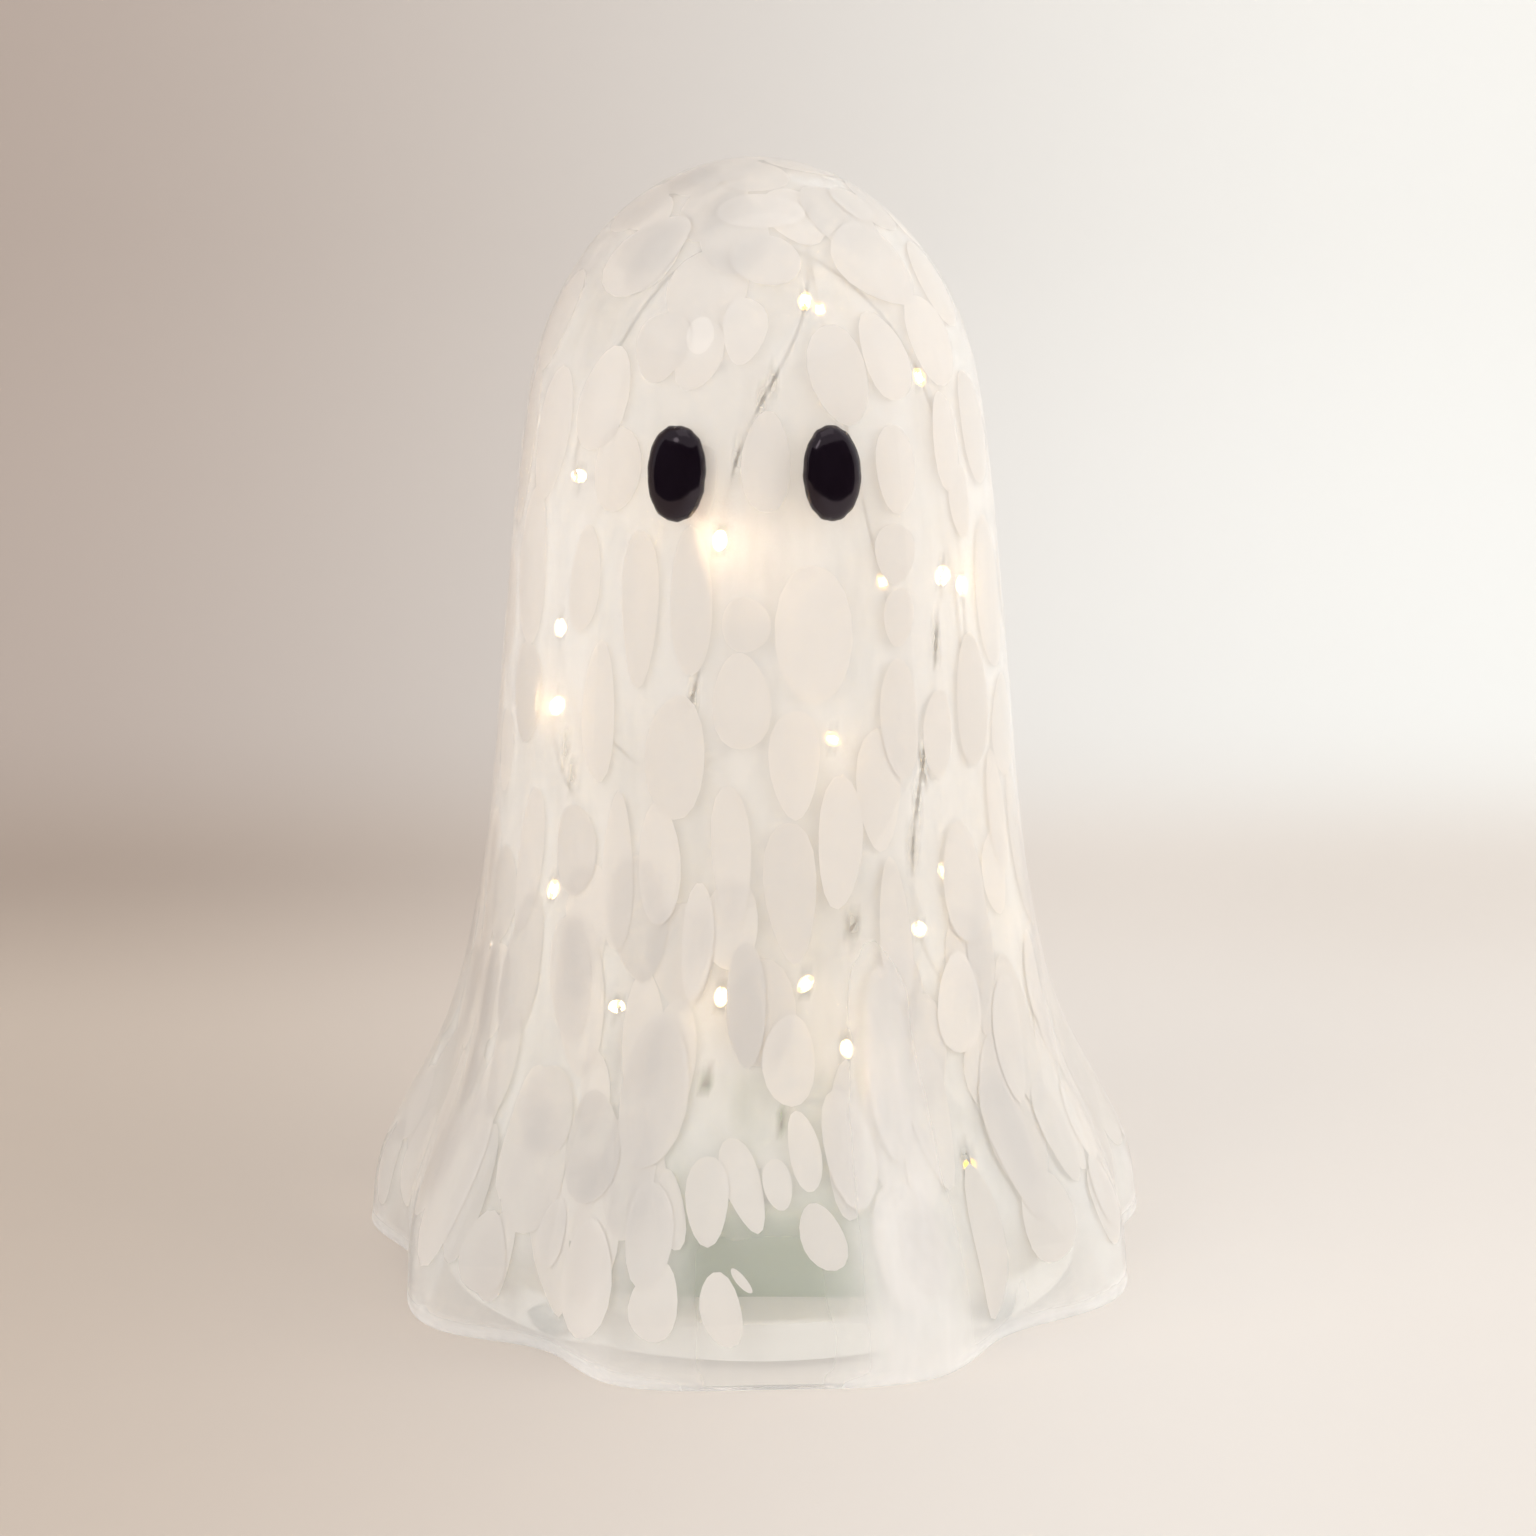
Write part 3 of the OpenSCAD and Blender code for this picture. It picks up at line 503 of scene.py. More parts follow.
# Angle, height, half width and half height of each spot where the string shows between the chips
clear_spots = [
    (-50.5, 38.5, 2, 2.8), (-72.5, 67, 1.2, 1.7), (-96.5, 78, 1.2, 1.7), (-118, 73.5, 1.2, 1.6),
    (-137, 94.5, 1.2, 1.8), (-140, 149.5, 1.3, 2), (-137.5, 181.5, 1.2, 1.8), (-41.5, 201, 1.2, 1.7),
    (-34, 157, 1.3, 2), (-41, 160.5, 1.3, 2.3), (-54, 88.5, 1.2, 1.7), (-73.5, 218.5, 1.2, 2),
    (-98, 172.5, 1.5, 2.3), (-139.5, 133, 1.3, 2), (-73, 131, 1.1, 1.6), (-80, 80.5, 1.2, 1.7),
    (-85, 204, 1, 2.8), (-88, 200.5, 1, 2.8), (-94, 189, 1, 3.6), (-103.5, 140.5, 1, 3.6),
    (-44.5, 147, 1.1, 4.6), (-50.5, 123, 1.1, 4.6), (-52.5, 115, 1.1, 4.6), (-54.5, 106, 1.1, 4.6),
    (-136, 124.5, 1, 3), (-133.5, 119.5, 1, 3), (-69.5, 91.5, 1.4, 2.8), (-99, 61, 1.1, 2), (-85, 53, 1.1, 2),
]
spot_edge = (0.6, 1.7)
hem_fade, dome_fade = (6, 34), (150, 205)
# The white at the lip is a painted highlight, the bright line along the thick lip
lip_fade, lip_highlight_white = (1, 4), 0.4
# The white in the fold at the front right is milky glass with a painted highlight on its ridge
milk_and_highlight_middle, milk_and_highlight_sides, milk_and_highlight_tops = 25, (2, 12), (40, 105)
window_middle, window_sides, window_tops = 1, (7, 19), (27, 43)


def eased(value, low, high):
    """A smooth rise from 0 at low to 1 at high."""
    t = min(max((value - low) / (high - low), 0), 1)
    return t * t * (3 - 2 * t)


def from_front(angle):
    """Degrees round from the middle of the front, to the right or, below nought, to the left."""
    return (angle + 270) % 360 - 180


def clear_share(angle, z):
    """How near a place is to the middle of a clear spot, from 0 to 1."""
    r = body_r(min(z, shoulder_z))
    share = 0
    for spot_angle, spot_z, half_w, half_h in clear_spots:
        away = math.hypot(math.radians(angle - spot_angle) * r / half_w, (z - spot_z) / half_h)
        share = max(share, 1 - eased(away, *spot_edge))
    return share


def veil_at(angle, z, plain, hem, dome, fold, window, slant, drop):
    """Share of white in one face of the glass: it gathers on the dome, at the lip as a painted highlight,
    and in one fold, where it is milky glass with a painted highlight on its ridge.
    The clear spots slant through the wall along the line of view from the front."""
    aside = from_front(angle)
    share = plain + (hem - plain) * (1 - eased(z, *hem_fade)) + (dome - plain) * eased(z, *dome_fade)
    # Painted highlight along the lip
    share += lip_highlight_white * (1 - eased(z, *lip_fade))
    # Milky glass and a painted highlight in the fold
    in_fold = (1 - eased(abs(aside - milk_and_highlight_middle), *milk_and_highlight_sides)) * (1 - eased(z, *milk_and_highlight_tops))
    share += (fold - share) * in_fold
    in_window = (1 - eased(abs(aside - window_middle), *window_sides)) * (1 - eased(z, *window_tops))
    in_spot = clear_share(aside / slant - 90, z + drop)
    return share + (window - share) * max(in_window, in_spot)


outer_veil = dict(plain=0.16, hem=0.22, dome=0.2, fold=0.55, window=0.1, slant=1, drop=0)
inner_veil = dict(plain=0.82, hem=0.4, dome=0.62, fold=0.8, window=0.2, slant=1.055, drop=1.1)
veil_values = []
for v in glass.data.vertices:
    angle = math.degrees(math.atan2(v.co.y, v.co.x))
    outward = v.normal.dot(Vector((v.co.x, v.co.y, max(0, v.co.z - shoulder_z * MM))))
    veil_values.append(veil_at(angle, v.co.z / MM, **(outer_veil if outward > 0 else inner_veil)))
keep_values(glass.data, "veil", veil_values)

cased = Finish("cased_glass")
streaks = cased.node("TexNoise", {}, {
    "Vector": cased.node("Mapping", {}, {"Vector": cased.place(), "Scale": (1, 1, 0.3)}),
    "Scale": 70, "Detail": 3,
})
veil = cased.stored("veil") * (0.4 + 1.2 * streaks)
clear_glass = cased.principled({
    "Base Color": (0.985, 0.997, 0.99),
    "Roughness": 0.0,
    "IOR": 1.47,
    "Transmission Weight": 1.0,
    "Normal": cased.bump(cased.mottle(38, 1.0) + 0.12 * streaks, 0.10, 0.0016),
})
veil_white = (0.945, 0.945, 0.945)
# The white is milky glass, and at the lip and in the fold also a painted highlight
milk_and_highlight_white = cased.mixed(
    0.5, cased.node("BsdfDiffuse", {}, {"Color": veil_white}),
    cased.node("BsdfTranslucent", {}, {"Color": veil_white}),
)
veiled_glass = cased.mixed(veil, clear_glass, milk_and_highlight_white)
finished(glass, cased.surface(cased.lamp_clear(veiled_glass, (0.97, 0.97, 0.97))))
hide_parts("glass_shell")

# The white chips
# Flakes of opal glass that the hot gather picked up. Blowing drew them into upright ovals, and the
# clear coat over them leaves them lying at three depths in the wall, overlapping like petals.

# Angle, height, width, length and tilt of the larger chips on the front
front_chips = [
    (-118, 157, 9, 32, 0), (-105, 159, 9, 32, -2), (-92, 168, 11, 19, 0), (-92, 155, 10, 12, 0),
    (-76, 153, 16.5, 30, 0), (-93, 139, 12, 21, 0), (-81, 126, 10.5, 24, 0), (-95, 107, 8.5, 30, -2),
    (-108, 127, 13, 27, 0), (-128, 134, 8.5, 31, 0), (-140, 130, 10, 35, -4),
    (-140, 104, 11.5, 24, -12), (-121, 101, 7.5, 35, -2), (-111, 104, 9.5, 26, 0),
    (-102, 89, 7, 24, 4), (-71, 109, 10.5, 27, 4), (-69, 130, 9, 23, 0), (-54, 154, 8, 12, 0),
    (-54, 167, 10, 13, 0), (-55, 133, 10, 25, 0), (-46, 154, 9, 15, 6), (-37, 155, 9, 23, 0),
    (-61, 119, 10.5, 27, 2), (-118, 210, 12.5, 15, 0), (-106, 209, 9.5, 16, 14),
    (-88, 208, 10.5, 18, -8), (-93, 214, 9, 15, 10), (-66, 205, 13, 22, -4), (-50, 207, 11.5, 20, -8),
    (-107, 221, 19, 20, 0), (-74, 222, 16.5, 14, 0), (-134, 198, 13, 24, 10), (-139, 226, 17, 23, 25),
    (-39, 224, 18, 23, -25), (-86, 235, 18.5, 11, 0), (-33, 187, 8.5, 22, 0), (-29, 174, 8, 16, 0),
    (-127, 184, 12, 18, 4), (-87, 188, 10, 22, 0), (-52, 184, 10.5, 18, 0), (-103, 184, 6, 16, 0),
    (-95, 17, 9, 16, -14), (-79, 31, 9.5, 14, -18), (-98, 38, 9.5, 18, -4), (-92, 41, 8, 20, -18),
    (-86, 41, 6, 11, -12), (-107, 31, 10, 23, -4), (-105, 18, 10, 18, 6), (-117, 19, 14.5, 26, 6),
    (-126, 26, 7.5, 15, 0), (-104, 36, 6, 17, -12), (-122, 35, 10.5, 20, 4), (-92, 23, 2, 7, -40),
    (-81, 47, 7, 16, -10), (-73, 47, 10.5, 25, -10),
]
eye_w, eye_h, eye_bulge, eye_gap, eye_z = 12.2, 19.6, 3.4, 31.2, 185.4
eye_turn = math.degrees(math.asin(eye_gap / 2 / body_r(eye_z)))
lowest_seat = 1.5
lean_probe = 0.5


def on_glass(p):
    """The nearest place on the outside of the glass, and the way out of it, in millimetres."""
    if p.z <= shoulder_z:
        z = max(p.z, lowest_seat)
        angle = math.atan2(p.y, p.x)
        lean = body_r(min(z + lean_probe, shoulder_z)) - body_r(max(z - lean_probe, 0))
        spot = Vector((math.cos(angle), math.sin(angle), 0)) * outer_r(math.degrees(angle), z)
        return spot + Vector((0, 0, z)), Vector((math.cos(angle), math.sin(angle), -lean)).normalized()
    d = p - Vector((0, 0, dome_z))
    d /= math.sqrt((d.x**2 + d.y**2) / dome_r**2 + d.z**2 / dome_rise**2)
    out = Vector((d.x / dome_r**2, d.y / dome_r**2, d.z / dome_rise**2)).normalized()
    return d + Vector((0, 0, dome_z)), out


def chip_seat(angle, z):
    """Middle of a chip on the glass, with the ways across and up."""
    r = body_r(z) if z <= shoulder_z else dome_r * math.sqrt(max(0, 1 - ((z - dome_z) / dome_rise) ** 2))
    turn = math.radians(angle)
    spot, out = on_glass(Vector((r * math.cos(turn), r * math.sin(turn), z)))
    across = Vector((-math.sin(turn), math.cos(turn), 0))
    return spot, across, out.cross(across)


Chip = namedtuple("Chip", "spot across up width length tilt whiteness")
chip_half = 0.1
chip_thins = 0.6
chip_egg, chip_lift = 0.16, 0.1
front_margin, front_room = 0.3, 0.9
scatter_margin, scatter_room = 0.6, 0.93
chip_widths, chip_lengths, chip_sway = (8, 15), (18, 40), 5
rounder_from, rounder_rise, rounder_width, rounder_cut = 185, 35, 5, 0.42
hem_clear, hem_spread = 3.5, 7
bare_half, bare_top = 17, 44
eye_room_turn, eye_room_h = 9.5, 15
sparse_low, sparse_high = 95, 225
layer_depths = (2.5, 2.95, 3.4)
layer_tries = (2600, 1500, 350)
dome_ring_share = 0.98
near_margin = 6
chance = random.Random(41)
layers = [[] for depth in layer_depths]


def fits(layer, spot, across, up, width, length, room):
    """Whether a chip finds room among those of a layer."""
    for other in layer:
        away = other.spot - spot
        if away.length < (length + other.length) / 2 + near_margin:
            side = away.dot(across) / (width + other.width)
            rise = away.dot(up) / (length + other.length)
            if math.hypot(side, rise) < room / 2:
                return False
    return True


def covers_spot(angle, z, width, length, margin):
    """Whether a chip would lie over a clear spot."""
    for spot_angle, spot_z, half_w, half_h in clear_spots:
        side = math.radians(from_front(angle) - from_front(spot_angle)) * body_r(min(z, shoulder_z))
        rise = z - spot_z
        if math.hypot(side / (width / 2 + margin * half_w), rise / (length / 2 + margin * half_h)) < 1:
            return True
    return False


for angle, z, width, length, tilt in front_chips:
    if covers_spot(angle, z, width, length, front_margin):
        continue
    spot, across, up = chip_seat(angle, z)
    open_layers = [k for k in layers if fits(k, spot, across, up, width, length, front_room)]
    layer = open_layers[0] if open_layers else min(layers, key=len)
    layer.append(Chip(spot, across, up, width, length, tilt, chance.uniform(0.5, 1)))

ring_areas = [body_r(z) for z in range(shoulder_z)]
ring_areas += [dome_r * dome_ring_share for z in range(shoulder_z, ghost_h)]
for layer, tries in zip(layers, layer_tries):
    for attempt in range(tries):
        z = chance.choices(range(ghost_h), ring_areas)[0] + chance.random()
        angle = chance.uniform(-180, 180)
        round_share = min(max((z - rounder_from) / rounder_rise, 0), 1)
        width = chance.uniform(*chip_widths) + rounder_width * round_share * chance.random()
        length = chance.uniform(*chip_lengths) * (1 - rounder_cut * round_share)
        aside = abs(from_front(angle))
        hem_gap = hem_clear + length / 2 + hem_spread * chance.random() ** 2
        in_window = aside < bare_half and z < bare_top
        on_eye = math.hypot((aside - eye_turn) / eye_room_turn, (z - eye_z) / eye_room_h) < 1
        if z < hem_gap or in_window or on_eye or covers_spot(angle, z, width, length, scatter_margin):
            continue
        spot, across, up = chip_seat(angle, z)
        crowded = layers if sparse_low < z < sparse_high else [layer]
        if all(fits(k, spot, across, up, width, length, scatter_room) for k in crowded):
            tilt, whiteness = chance.gauss(0, chip_sway), chance.random()
            layer.append(Chip(spot, across, up, width, length, tilt, whiteness))

bpy.ops.object.select_all(action="DESELECT")
bpy.ops.mesh.primitive_uv_sphere_add(segments=18, ring_count=4, radius=1)
chip_model = bpy.context.object
chip_points = [v.co.copy() for v in chip_model.data.vertices]
# Past a share of its half width, a chip thins out to its edge
for q in chip_points:
    if 0.1 < abs(q.z) < 0.9:
        q.xy *= chip_thins / q.xy.length
chip_faces = [list(f.vertices) for f in chip_model.data.polygons]
bpy.data.objects.remove(chip_model)
points, faces, chip_whites = [], [], []
for depth, layer in zip(layer_depths, layers):
    for chip in layer:
        lean = math.radians(-chip.tilt)
        sway = [chance.uniform(0, math.tau) for k in range(2)]
        egg = chance.uniform(-chip_egg, chip_egg)
        lift = chance.uniform(-chip_lift, chip_lift)
        start = len(points)
        for q in chip_points:
            turn = math.atan2(q.y, q.x)
            wobble = 1 + 0.045 * math.sin(2 * turn + sway[0]) + 0.035 * math.sin(3 * turn + sway[1])
            x = q.x * wobble * chip.width / 2 * (1 + egg * q.y)
            y = q.y * wobble * chip.length / 2
            side = x * math.cos(lean) - y * math.sin(lean)
            rise = x * math.sin(lean) + y * math.cos(lean)
            skin, way_out = on_glass(chip.spot + chip.across * side + chip.up * rise)
            points.append((skin - way_out * (depth + lift - chip_half * q.z)) * MM)
        faces += [[start + i for i in f] for f in chip_faces]
        chip_whites += [chip.whiteness] * len(chip_points)
chip_mesh = bpy.data.meshes.new("white_chips")
chip_mesh.from_pydata(points, [], faces)
keep_values(chip_mesh, "whiteness", chip_whites)
white_chips = bpy.data.objects.new("white_chips", chip_mesh)
bpy.context.collection.objects.link(white_chips)
bpy.ops.object.select_all(action="DESELECT")
white_chips.select_set(True)
bpy.context.view_layer.objects.active = white_chips
bpy.ops.object.shade_smooth_by_angle(angle=math.radians(20))
opal = Finish("opal_chips")
opal_share = 0.7 * opal.stored("whiteness") + 0.3 * opal.mottle(60)
opal_white = opal.blend(opal_share, (0.88, 0.862, 0.845), (0.975, 0.955, 0.935))
opal_face = opal.principled({"Base Color": opal_white, "Roughness": 0.55, "Specular IOR Level": 0.1})
opal_through = opal.node("BsdfTranslucent", {}, {"Color": opal_white})
finished(white_chips, opal.surface(opal.mixed(0.62, opal_face, opal_through)))

# The eyes
# Two ovals of black glass pressed on to the front of the head while it was hot, so that their backs
# follow its curve and their edges ran out a little unevenly.
eye_seat = 0.05
eye_fullness = 3.6


def eye_piece(node_name, side, sway, fill):
    """One eye, on one side of the middle. Sway and fill set how its edge ran out."""
    bpy.ops.object.select_all(action="DESELECT")
    bpy.ops.mesh.primitive_uv_sphere_add(segments=56, ring_count=28, radius=1)
    eye = bpy.context.object
    eye.name = node_name + "_glass"
    spot, across, up = chip_seat(-90 + side * eye_turn, eye_z)
    for v in eye.data.vertices:
        turn = math.atan2(v.co.y, v.co.x)
        share = math.hypot(v.co.x, v.co.y)
        ragged = 0.009 * math.sin(17 * turn + 2 * sway) + 0.007 * math.sin(11 * turn - sway)
        edge = 1 + share**4 * (ragged + 0.008 * math.sin(3 * turn + sway) + fill * math.sin(2 * turn) ** 2)
        skin, way_out = on_glass(spot + across * v.co.x * edge * eye_w / 2 + up * v.co.y * edge * eye_h / 2)
        rise = eye_bulge * max(0, 1 - share**eye_fullness) ** 0.5 if v.co.z > 0 else 0
        v.co = (skin + way_out * (eye_seat + rise)) * MM
    eye.data.polygons.foreach_set("use_smooth", [True] * len(eye.data.polygons))
    black = Finish(eye.name)
    finished(eye, black.surface(black.principled({
        "Base Color": black.blend(black.mottle(160), (0.004, 0.002, 0.004), (0.008, 0.005, 0.009)),
        "Roughness": 0.08 + 0.1 * black.mottle(90),
        "Specular Tint": (1, 0.86, 0.97),
        "Normal": black.bump(black.mottle(170, 1.0), 0.12, 0.0006),
    })))
    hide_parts(node_name)


eye_piece("left_eye", -1, 0.4, 0.04)
eye_piece("right_eye", 1, 2.1, 0.01)

# The base tray and the battery door
# Pale moulded plastic with the fine spark grain of its mould. The door swings on pegs under the
# cells and is held shut by one captive screw.


def moulded(name, dark, pale, roughness=0.42, grain=1400):
    """Moulded plastic: a faint drift of colour, and the mould's fine grain."""
    made = Finish(name)
    return made.surface(made.principled({
        "Base Color": made.blend(made.mottle(45), dark, pale),
        "Roughness": roughness - 0.06 + 0.12 * made.mottle(220),
        "Normal": made.bump(made.mottle(grain), 0.18, 0.00012),
    }))


def dressed(name, material):
    """A node of the frame keeps its shape and takes the finish."""
    nodes[name].data.materials.clear()
    nodes[name].data.materials.append(material)


tray_plastic = moulded("tray_plastic", (0.78, 0.77, 0.74), (0.84, 0.83, 0.80))
dressed("tray", tray_plastic)
dressed("battery_door", tray_plastic)

# The silicone
# Clear silicone run in between the tray's rim and the deep folds of the glass, where they come
# closest. Each dab slumped before it cured.
tray_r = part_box("tray")[1].x / MM
dab_h, dab_z, dab_turn = 6.4, 6, 0.085
dab_wave, dab_slump = 0.18, 0.12
dabs = bmesh.new()
for angle in [a for a, share in folds if share <= -0.95]:
    inner = outer_r(angle, dab_z) - glass_t
    bpy.ops.object.select_all(action="DESELECT")
    bpy.ops.mesh.primitive_ico_sphere_add(subdivisions=4, radius=1)
    dab = bpy.context.object
    for v in dab.data.vertices:
        sag = 1 + dab_wave * math.sin(5 * v.co.y + angle) - dab_slump * v.co.z
        turn = math.radians(angle) + v.co.y * dab_turn * sag
        r = (inner + tray_r) / 2 + v.co.x * (inner - tray_r) / 2
        v.co = Vector((r * math.cos(turn), r * math.sin(turn), dab_z + v.co.z * dab_h / 2)) * MM
    dabs.from_mesh(dab.data)
    bpy.data.objects.remove(dab)
dab_mesh = bpy.data.meshes.new("silicone_dabs")
dabs.to_mesh(dab_mesh)
dabs.free()
dab_mesh.polygons.foreach_set("use_smooth", [True] * len(dab_mesh.polygons))
silicone_dabs = bpy.data.objects.new("silicone_dabs", dab_mesh)
bpy.context.collection.objects.link(silicone_dabs)
silicone = Finish("silicone")
finished(silicone_dabs, silicone.surface(silicone.principled({
    "Base Color": silicone.blend(silicone.mottle(240), (0.80, 0.81, 0.79), (0.90, 0.91, 0.89)),
    "Roughness": 0.28 + 0.1 * silicone.mottle(300),
    "Transmission Weight": 0.55,
    "IOR": 1.41,
})))
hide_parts("glue_dabs")

# The battery case
# Grey-green moulded plastic, screwed down over the cells and the board. It is the block that shows
# through the clear glass low on the front.
dressed("battery_case", moulded("case_plastic", (0.46, 0.54, 0.43), (0.53, 0.60, 0.49), 0.46))

# The cells
# Plain jacketed cells: a dark jacket with a bronze band at the nub end, and bare steel at both ends.
band_w, nub_bare, foot_bare = 12 * MM, 1.7 * MM, 0.7 * MM
for number, nub_way in ((1, 1), (2, -1), (3, 1)):
    low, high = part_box(f"cell_{number}")
    jacket = Finish(f"cell_jacket_{number}")
    along_cell = jacket.along("Y")
    nub_end = high.y if nub_way > 0 else low.y
    far_end = low.y if nub_way > 0 else high.y
    from_nub = (nub_end - along_cell) * nub_way
    from_foot = (along_cell - far_end) * nub_way
    band = 1 - (from_nub > band_w)
    bare = (1 - (from_nub > nub_bare)) + (1 - (from_foot > foot_bare))
    dark_jacket = jacket.blend(jacket.mottle(80), (0.030, 0.032, 0.034), (0.046, 0.048, 0.05))
    banded = jacket.blend(band, dark_jacket, (0.42, 0.23, 0.10))
    dressed(f"cell_{number}", jacket.surface(jacket.principled({
        "Base Color": jacket.blend(bare, banded, (0.62, 0.61, 0.59)),
        "Metallic": 0.9 * bare + 0.55 * band * (1 - bare),
        "Roughness": 0.26 + 0.12 * jacket.mottle(300),
    })))

# The contacts
# Stamped plates and wound springs of nickel-plated steel. A spring stands on its plate and narrows
# towards the flat end of its cell.


def plated(name, colour=(0.60, 0.585, 0.56)):
    """Plated steel with fine drawing lines and a little tarnish."""
    made = Finish(name)
    return made.surface(made.principled({
        "Base Color": made.blend(made.mottle(180, 4.0), colour, tuple(0.72 * c for c in colour)),
        "Metallic": 1.0,
        "Roughness": 0.22 + 0.16 * made.mottle(420, 4.0),
        "Normal": made.bump(made.mottle(1800), 0.08, 0.00005),
    }))


plated_steel = plated("plated_steel")
dressed("contact_plates", plated_steel)
spring_low, spring_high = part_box("contact_springs")
spring_turns, spring_wire, spring_wide, spring_narrow = 4, 0.7, 4.4, 2.8
spring_room, spring_play = 7, 0.3
spring_rise = spring_room - spring_wire - spring_play
coil_steps = spring_turns * 40
cell_pitch = 15.1
cell_z = (spring_low.z + spring_high.z) / 2 / MM
coils = []
for number in (1, 2, 3):
    foot = spring_high.y / MM if number == 2 else spring_low.y / MM
    way = -1 if number == 2 else 1
    coil = []
    for i in range(coil_steps + 1):
        t = i / coil_steps
        r = spring_wide + (spring_narrow - spring_wide) * t
        turn = math.tau * spring_turns * t
        rise = way * (spring_wire / 2 + spring_rise * t)
        x = (number - 2) * cell_pitch + r * math.cos(turn)
        z = cell_z - way * r * math.sin(turn)
        coil.append(Vector((x, foot + rise, z)) * MM)
    coils.append(coil)
wound_springs = tube_mesh("wound_springs", coils, spring_wire * MM, 10)
finished(wound_springs, plated_steel)
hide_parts("contact_springs")

# The leads
# Stranded wire in red and black sleeving, from the end contacts round the cells to the board.
dressed("red_lead", moulded("red_insulation", (0.42, 0.022, 0.018), (0.52, 0.035, 0.028), 0.35))
dressed("black_lead", moulded("black_insulation", (0.018, 0.018, 0.019), (0.032, 0.031, 0.032), 0.38))

# The timer board
# Green lacquered laminate on two posts, with a chip, a crystal in a steel can and a small capacitor.
laminate = Finish("board_laminate")
board_x = laminate.along("X")
board_y = laminate.along("Y")
track_pitch, track_gap = 2.54 * MM, 0.85 * MM
bus_pitch, bus_gap = 4 * MM, 1.7 * MM
tracks = (board_x.worked("PINGPONG", board_x, track_pitch / 2) > track_gap) * (laminate.mottle(110) > 0.5)
buses = (board_y.worked("PINGPONG", board_y, bus_pitch / 2) > bus_gap) * (1 - (laminate.mottle(110) > 0.56))
copper = tracks.either(buses)
dressed("timer_board", laminate.surface(laminate.principled({
    "Base Color": laminate.blend(copper, (0.012, 0.085, 0.04), (0.03, 0.17, 0.075)),
    "Roughness": 0.3 + 0.1 * laminate.mottle(500),
    "Coat Weight": 0.4,
    "Normal": laminate.bump(copper, 0.4, 0.00006),
})))
resin_black = Finish("black_resin")
chip_low, chip_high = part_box("timer_chip")
chip_middle = (chip_low.y + chip_high.y) / 2
chip_body_half = 2.02 * MM
off_middle = resin_black.along("Y") - chip_middle
legs = off_middle.worked("ABSOLUTE", off_middle, 0.0) > chip_body_half
dressed("timer_chip", resin_black.surface(resin_black.principled({
    "Base Color": resin_black.blend(legs, (0.022, 0.022, 0.024), (0.58, 0.57, 0.55)),
    "Metallic": legs,
    "Roughness": 0.55 - 0.28 * legs,
    "Normal": resin_black.bump(resin_black.mottle(2200), 0.2, 0.00006),
})))
dressed("timing_crystal", plated("crystal_can", (0.66, 0.66, 0.66)))
cap_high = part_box("smoothing_capacitor")[1]
cap_lid, stripe_w = 0.35 * MM, 1.1 * MM
sleeve = Finish("capacitor_sleeve")
cap_z = sleeve.along("Z")
cap_x = sleeve.along("X")
cap_top = cap_z > cap_high.z - cap_lid
stripe = (cap_x > cap_high.x - stripe_w) * (1 - cap_top)
striped = sleeve.blend(stripe, (0.02, 0.024, 0.05), (0.42, 0.44, 0.47))
dressed("smoothing_capacitor", sleeve.surface(sleeve.principled({
    "Base Color": sleeve.blend(cap_top, striped, (0.7, 0.7, 0.7)),
    "Metallic": 0.95 * cap_top,
    "Roughness": 0.3 + 0.1 * sleeve.mottle(500),
})))

# The switch, the grommet and the screws
# A slide switch under the board, worked from below through a slot; a rubber grommet where the string
# leaves the case; and plated screws in the bosses.
dressed("switch_body", plated("switch_shell", (0.58, 0.58, 0.57)))
dressed("switch_knob", moulded("knob_plastic", (0.02, 0.02, 0.021), (0.034, 0.034, 0.036), 0.4))
dressed("wire_grommet", moulded("grommet_rubber", (0.03, 0.03, 0.031), (0.05, 0.05, 0.05), 0.6))
for name in ("door_screw", "case_screws", "board_screws"):
    dressed(name, plated_steel)

# The table and the light
# A pale sweep, partly self-lit where it is seen, bends up behind the ghost. Its tone is painted shade,
# darker to the left, away from the key panel, and darker still in the bend. It is clear from its back,
# and lets light up under the tray. Large panels give soft light, and a low dark screen in front shows
# only where the glass mirrors it.
bpy.ops.object.select_all(action="DESELECT")
bpy.ops.mesh.primitive_plane_add(size=2)
sweep = bpy.context.object
sweep.name = "sweep"
sweep_half, sweep_front, sweep_bend, bend_r, wall_h = 30, -30, 0.24, 0.14, 2.5
for v in sweep.data.vertices:
    v.co = Vector((v.co.x * sweep_half, sweep_bend if v.co.y > 0 else sweep_front, 0))
bpy.ops.object.mode_set(mode="EDIT")
bpy.ops.mesh.select_mode(type="EDGE")
bpy.ops.mesh.select_all(action="DESELECT")
bpy.ops.object.mode_set(mode="OBJECT")
for e in sweep.data.edges:
    e.select = all(sweep.data.vertices[i].co.y > 0 for i in e.vertices)
bpy.ops.object.mode_set(mode="EDIT")
bend_steps = 16
for i in range(bend_steps):
    a, b = (math.pi / 2 * k / bend_steps for k in (i, i + 1))
    step = (0, bend_r * (math.sin(b) - math.sin(a)), bend_r * (math.cos(a) - math.cos(b)))
    bpy.ops.mesh.extrude_edges_move(TRANSFORM_OT_translate={"value": step})
bpy.ops.mesh.extrude_edges_move(TRANSFORM_OT_translate={"value": (0, 0, wall_h)})
bpy.ops.object.mode_set(mode="OBJECT")
sweep.data.polygons.foreach_set("use_smooth", [True] * len(sweep.data.polygons))
paper = Finish("sweep_paper")
paper_x = paper.along("X")
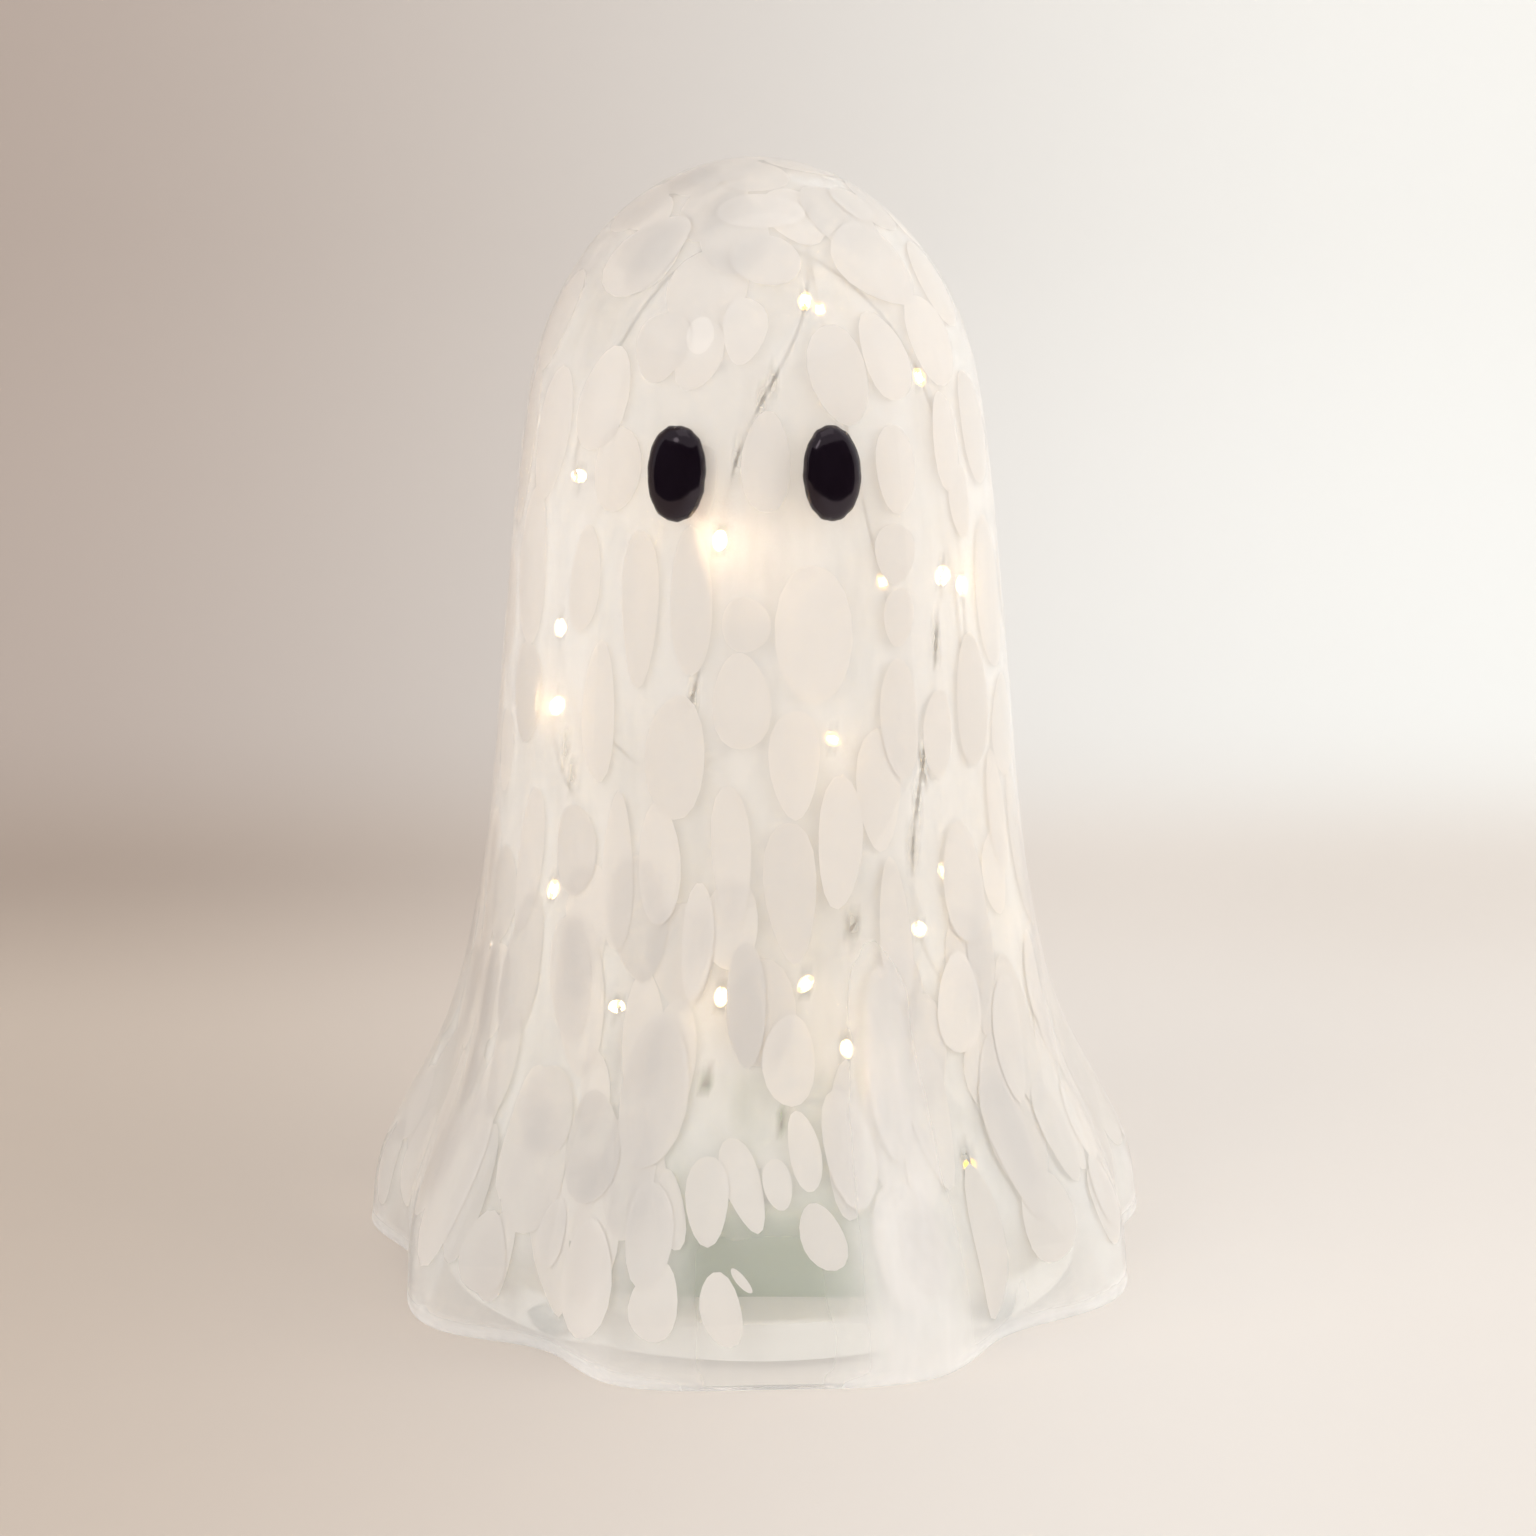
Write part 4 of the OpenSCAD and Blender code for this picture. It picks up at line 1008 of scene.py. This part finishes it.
paper_y = paper.along("Y")


def paper_share(value, low, high):
    """A smooth rise from 0 at low to 1 at high, across the paper."""
    limits = {"Value": value, "From Min": low, "From Max": high}
    return paper.node("MapRange", {"interpolation_type": "SMOOTHSTEP"}, limits)


# Painted shade: the paper darkens to the left, away from the key panel, and more in the bend
wall_shaded_tone = paper.blend(paper_share(paper_x, -0.26, 0.22), (0.455, 0.382, 0.338), (0.86, 0.865, 0.845))
floor_shaded_tone = paper.blend(paper_share(paper_x, -0.2, 0.12), (0.585, 0.50, 0.428), (0.81, 0.765, 0.72))
bend_painted_shade = paper.blend(paper_share(paper_x, -0.2, 0.12), (0.40, 0.326, 0.277), (0.745, 0.685, 0.63))
paper_tone = paper.blend(paper_share(paper_y, 0.2, 0.3), floor_shaded_tone, wall_shaded_tone)
# Painted shade in the bend
in_bend = paper_share(paper_y, 0.12, 0.25) * (1 - paper_share(paper_y, 0.25, 0.32))
paper_tone = paper.blend(0.8 * in_bend, paper_tone, bend_painted_shade)
paper_matt = paper.node("BsdfDiffuse", {}, {"Color": paper_tone})
paper_bright = paper.node("Emission", {}, {"Color": paper_tone, "Strength": 1.0})
seen = paper.ray("Camera").either(paper.ray("Glossy")).either(paper.ray("Transmission"))
paper_away = paper.node("VectorMath", {"operation": "LENGTH"}, {0: paper.place()}, "Value")
bright_share = 0.45 + 0.55 * paper_share(paper_away, 0.6, 1.2)
paper_front = paper.mixed(bright_share * seen, paper_matt, paper_bright)
under_tray = 1 - (paper_away > tray_r * MM)
let_through = paper.node("NewGeometry", {}, {}, "Backfacing").either(under_tray * paper.ray("Diffuse"))
one_sided = paper.mixed(let_through, paper_front, paper.node("BsdfTransparent", {}, {}))
sweep.data.materials.append(paper.surface(one_sided))
sweep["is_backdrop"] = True

screen_r, screen_h, screen_ends = 0.7, 0.6, -0.2
bpy.ops.object.select_all(action="DESELECT")
bpy.ops.mesh.primitive_cylinder_add(
    vertices=64, radius=screen_r, depth=screen_h, end_fill_type="NOTHING", location=(0, 0, screen_h / 2),
)
bpy.ops.object.transform_apply(location=True, rotation=False, scale=False)
screen = bpy.context.object
screen.name = "dark_screen"
bpy.ops.object.mode_set(mode="EDIT")
bpy.ops.mesh.select_mode(type="FACE")
bpy.ops.mesh.select_all(action="DESELECT")
bpy.ops.object.mode_set(mode="OBJECT")
for f in screen.data.polygons:
    f.select = f.center.y > screen_ends
bpy.ops.object.mode_set(mode="EDIT")
bpy.ops.mesh.delete(type="FACE")
bpy.ops.object.mode_set(mode="OBJECT")
screen.visible_camera = False
screen.visible_diffuse = False
screen.visible_transmission = False
screen.visible_shadow = False
felt = Finish("screen_felt")
screen.data.materials.append(felt.surface(felt.node("BsdfDiffuse", {}, {"Color": (0.03, 0.027, 0.03)})))
screen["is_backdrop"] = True

world = bpy.data.worlds.new("studio")
bpy.context.scene.world = world
world.use_nodes = True
world.node_tree.nodes["Background"].inputs["Color"].default_value = (1.0, 0.98, 0.96, 1)
world.node_tree.nodes["Background"].inputs["Strength"].default_value = 0.55


def panel(name, place, target, width, height, power, colour, mirrored, shape="RECTANGLE"):
    """A lamp that faces its target. Only a mirrored one shows in gloss."""
    bpy.ops.object.light_add(type="AREA", location=place)
    light = bpy.context.object
    light.name = name
    light.rotation_euler = (Vector(target) - Vector(place)).to_track_quat("-Z", "Y").to_euler()
    light.data.shape = shape
    light.data.size = width
    light.data.size_y = height
    light.data.energy = power
    light.data.color = colour
    light.visible_glossy = mirrored


panel("key_panel", (1.7, -0.5, 0.9), (0, 0, 0.12), 1.6, 1.6, 23, (1, 0.98, 0.96), False)
panel("fill_panel", (-1.4, -1.3, 0.8), (0, 0, 0.12), 1.8, 1.8, 22, (1, 0.985, 0.97), False)
panel("glint_lamp", (-0.6, -0.85, 1.02), (0, 0, 0.18), 0.32, 0.32, 0.65, (1, 0.985, 0.97), True, "ELLIPSE")
panel("top_panel", (0.05, -0.2, 1.6), (0, 0, 0.15), 1.2, 1.0, 2, (1, 0.98, 0.95), True)

bpy.context.scene.view_settings.view_transform = "Standard"
bpy.context.view_layer.update()
low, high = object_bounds()
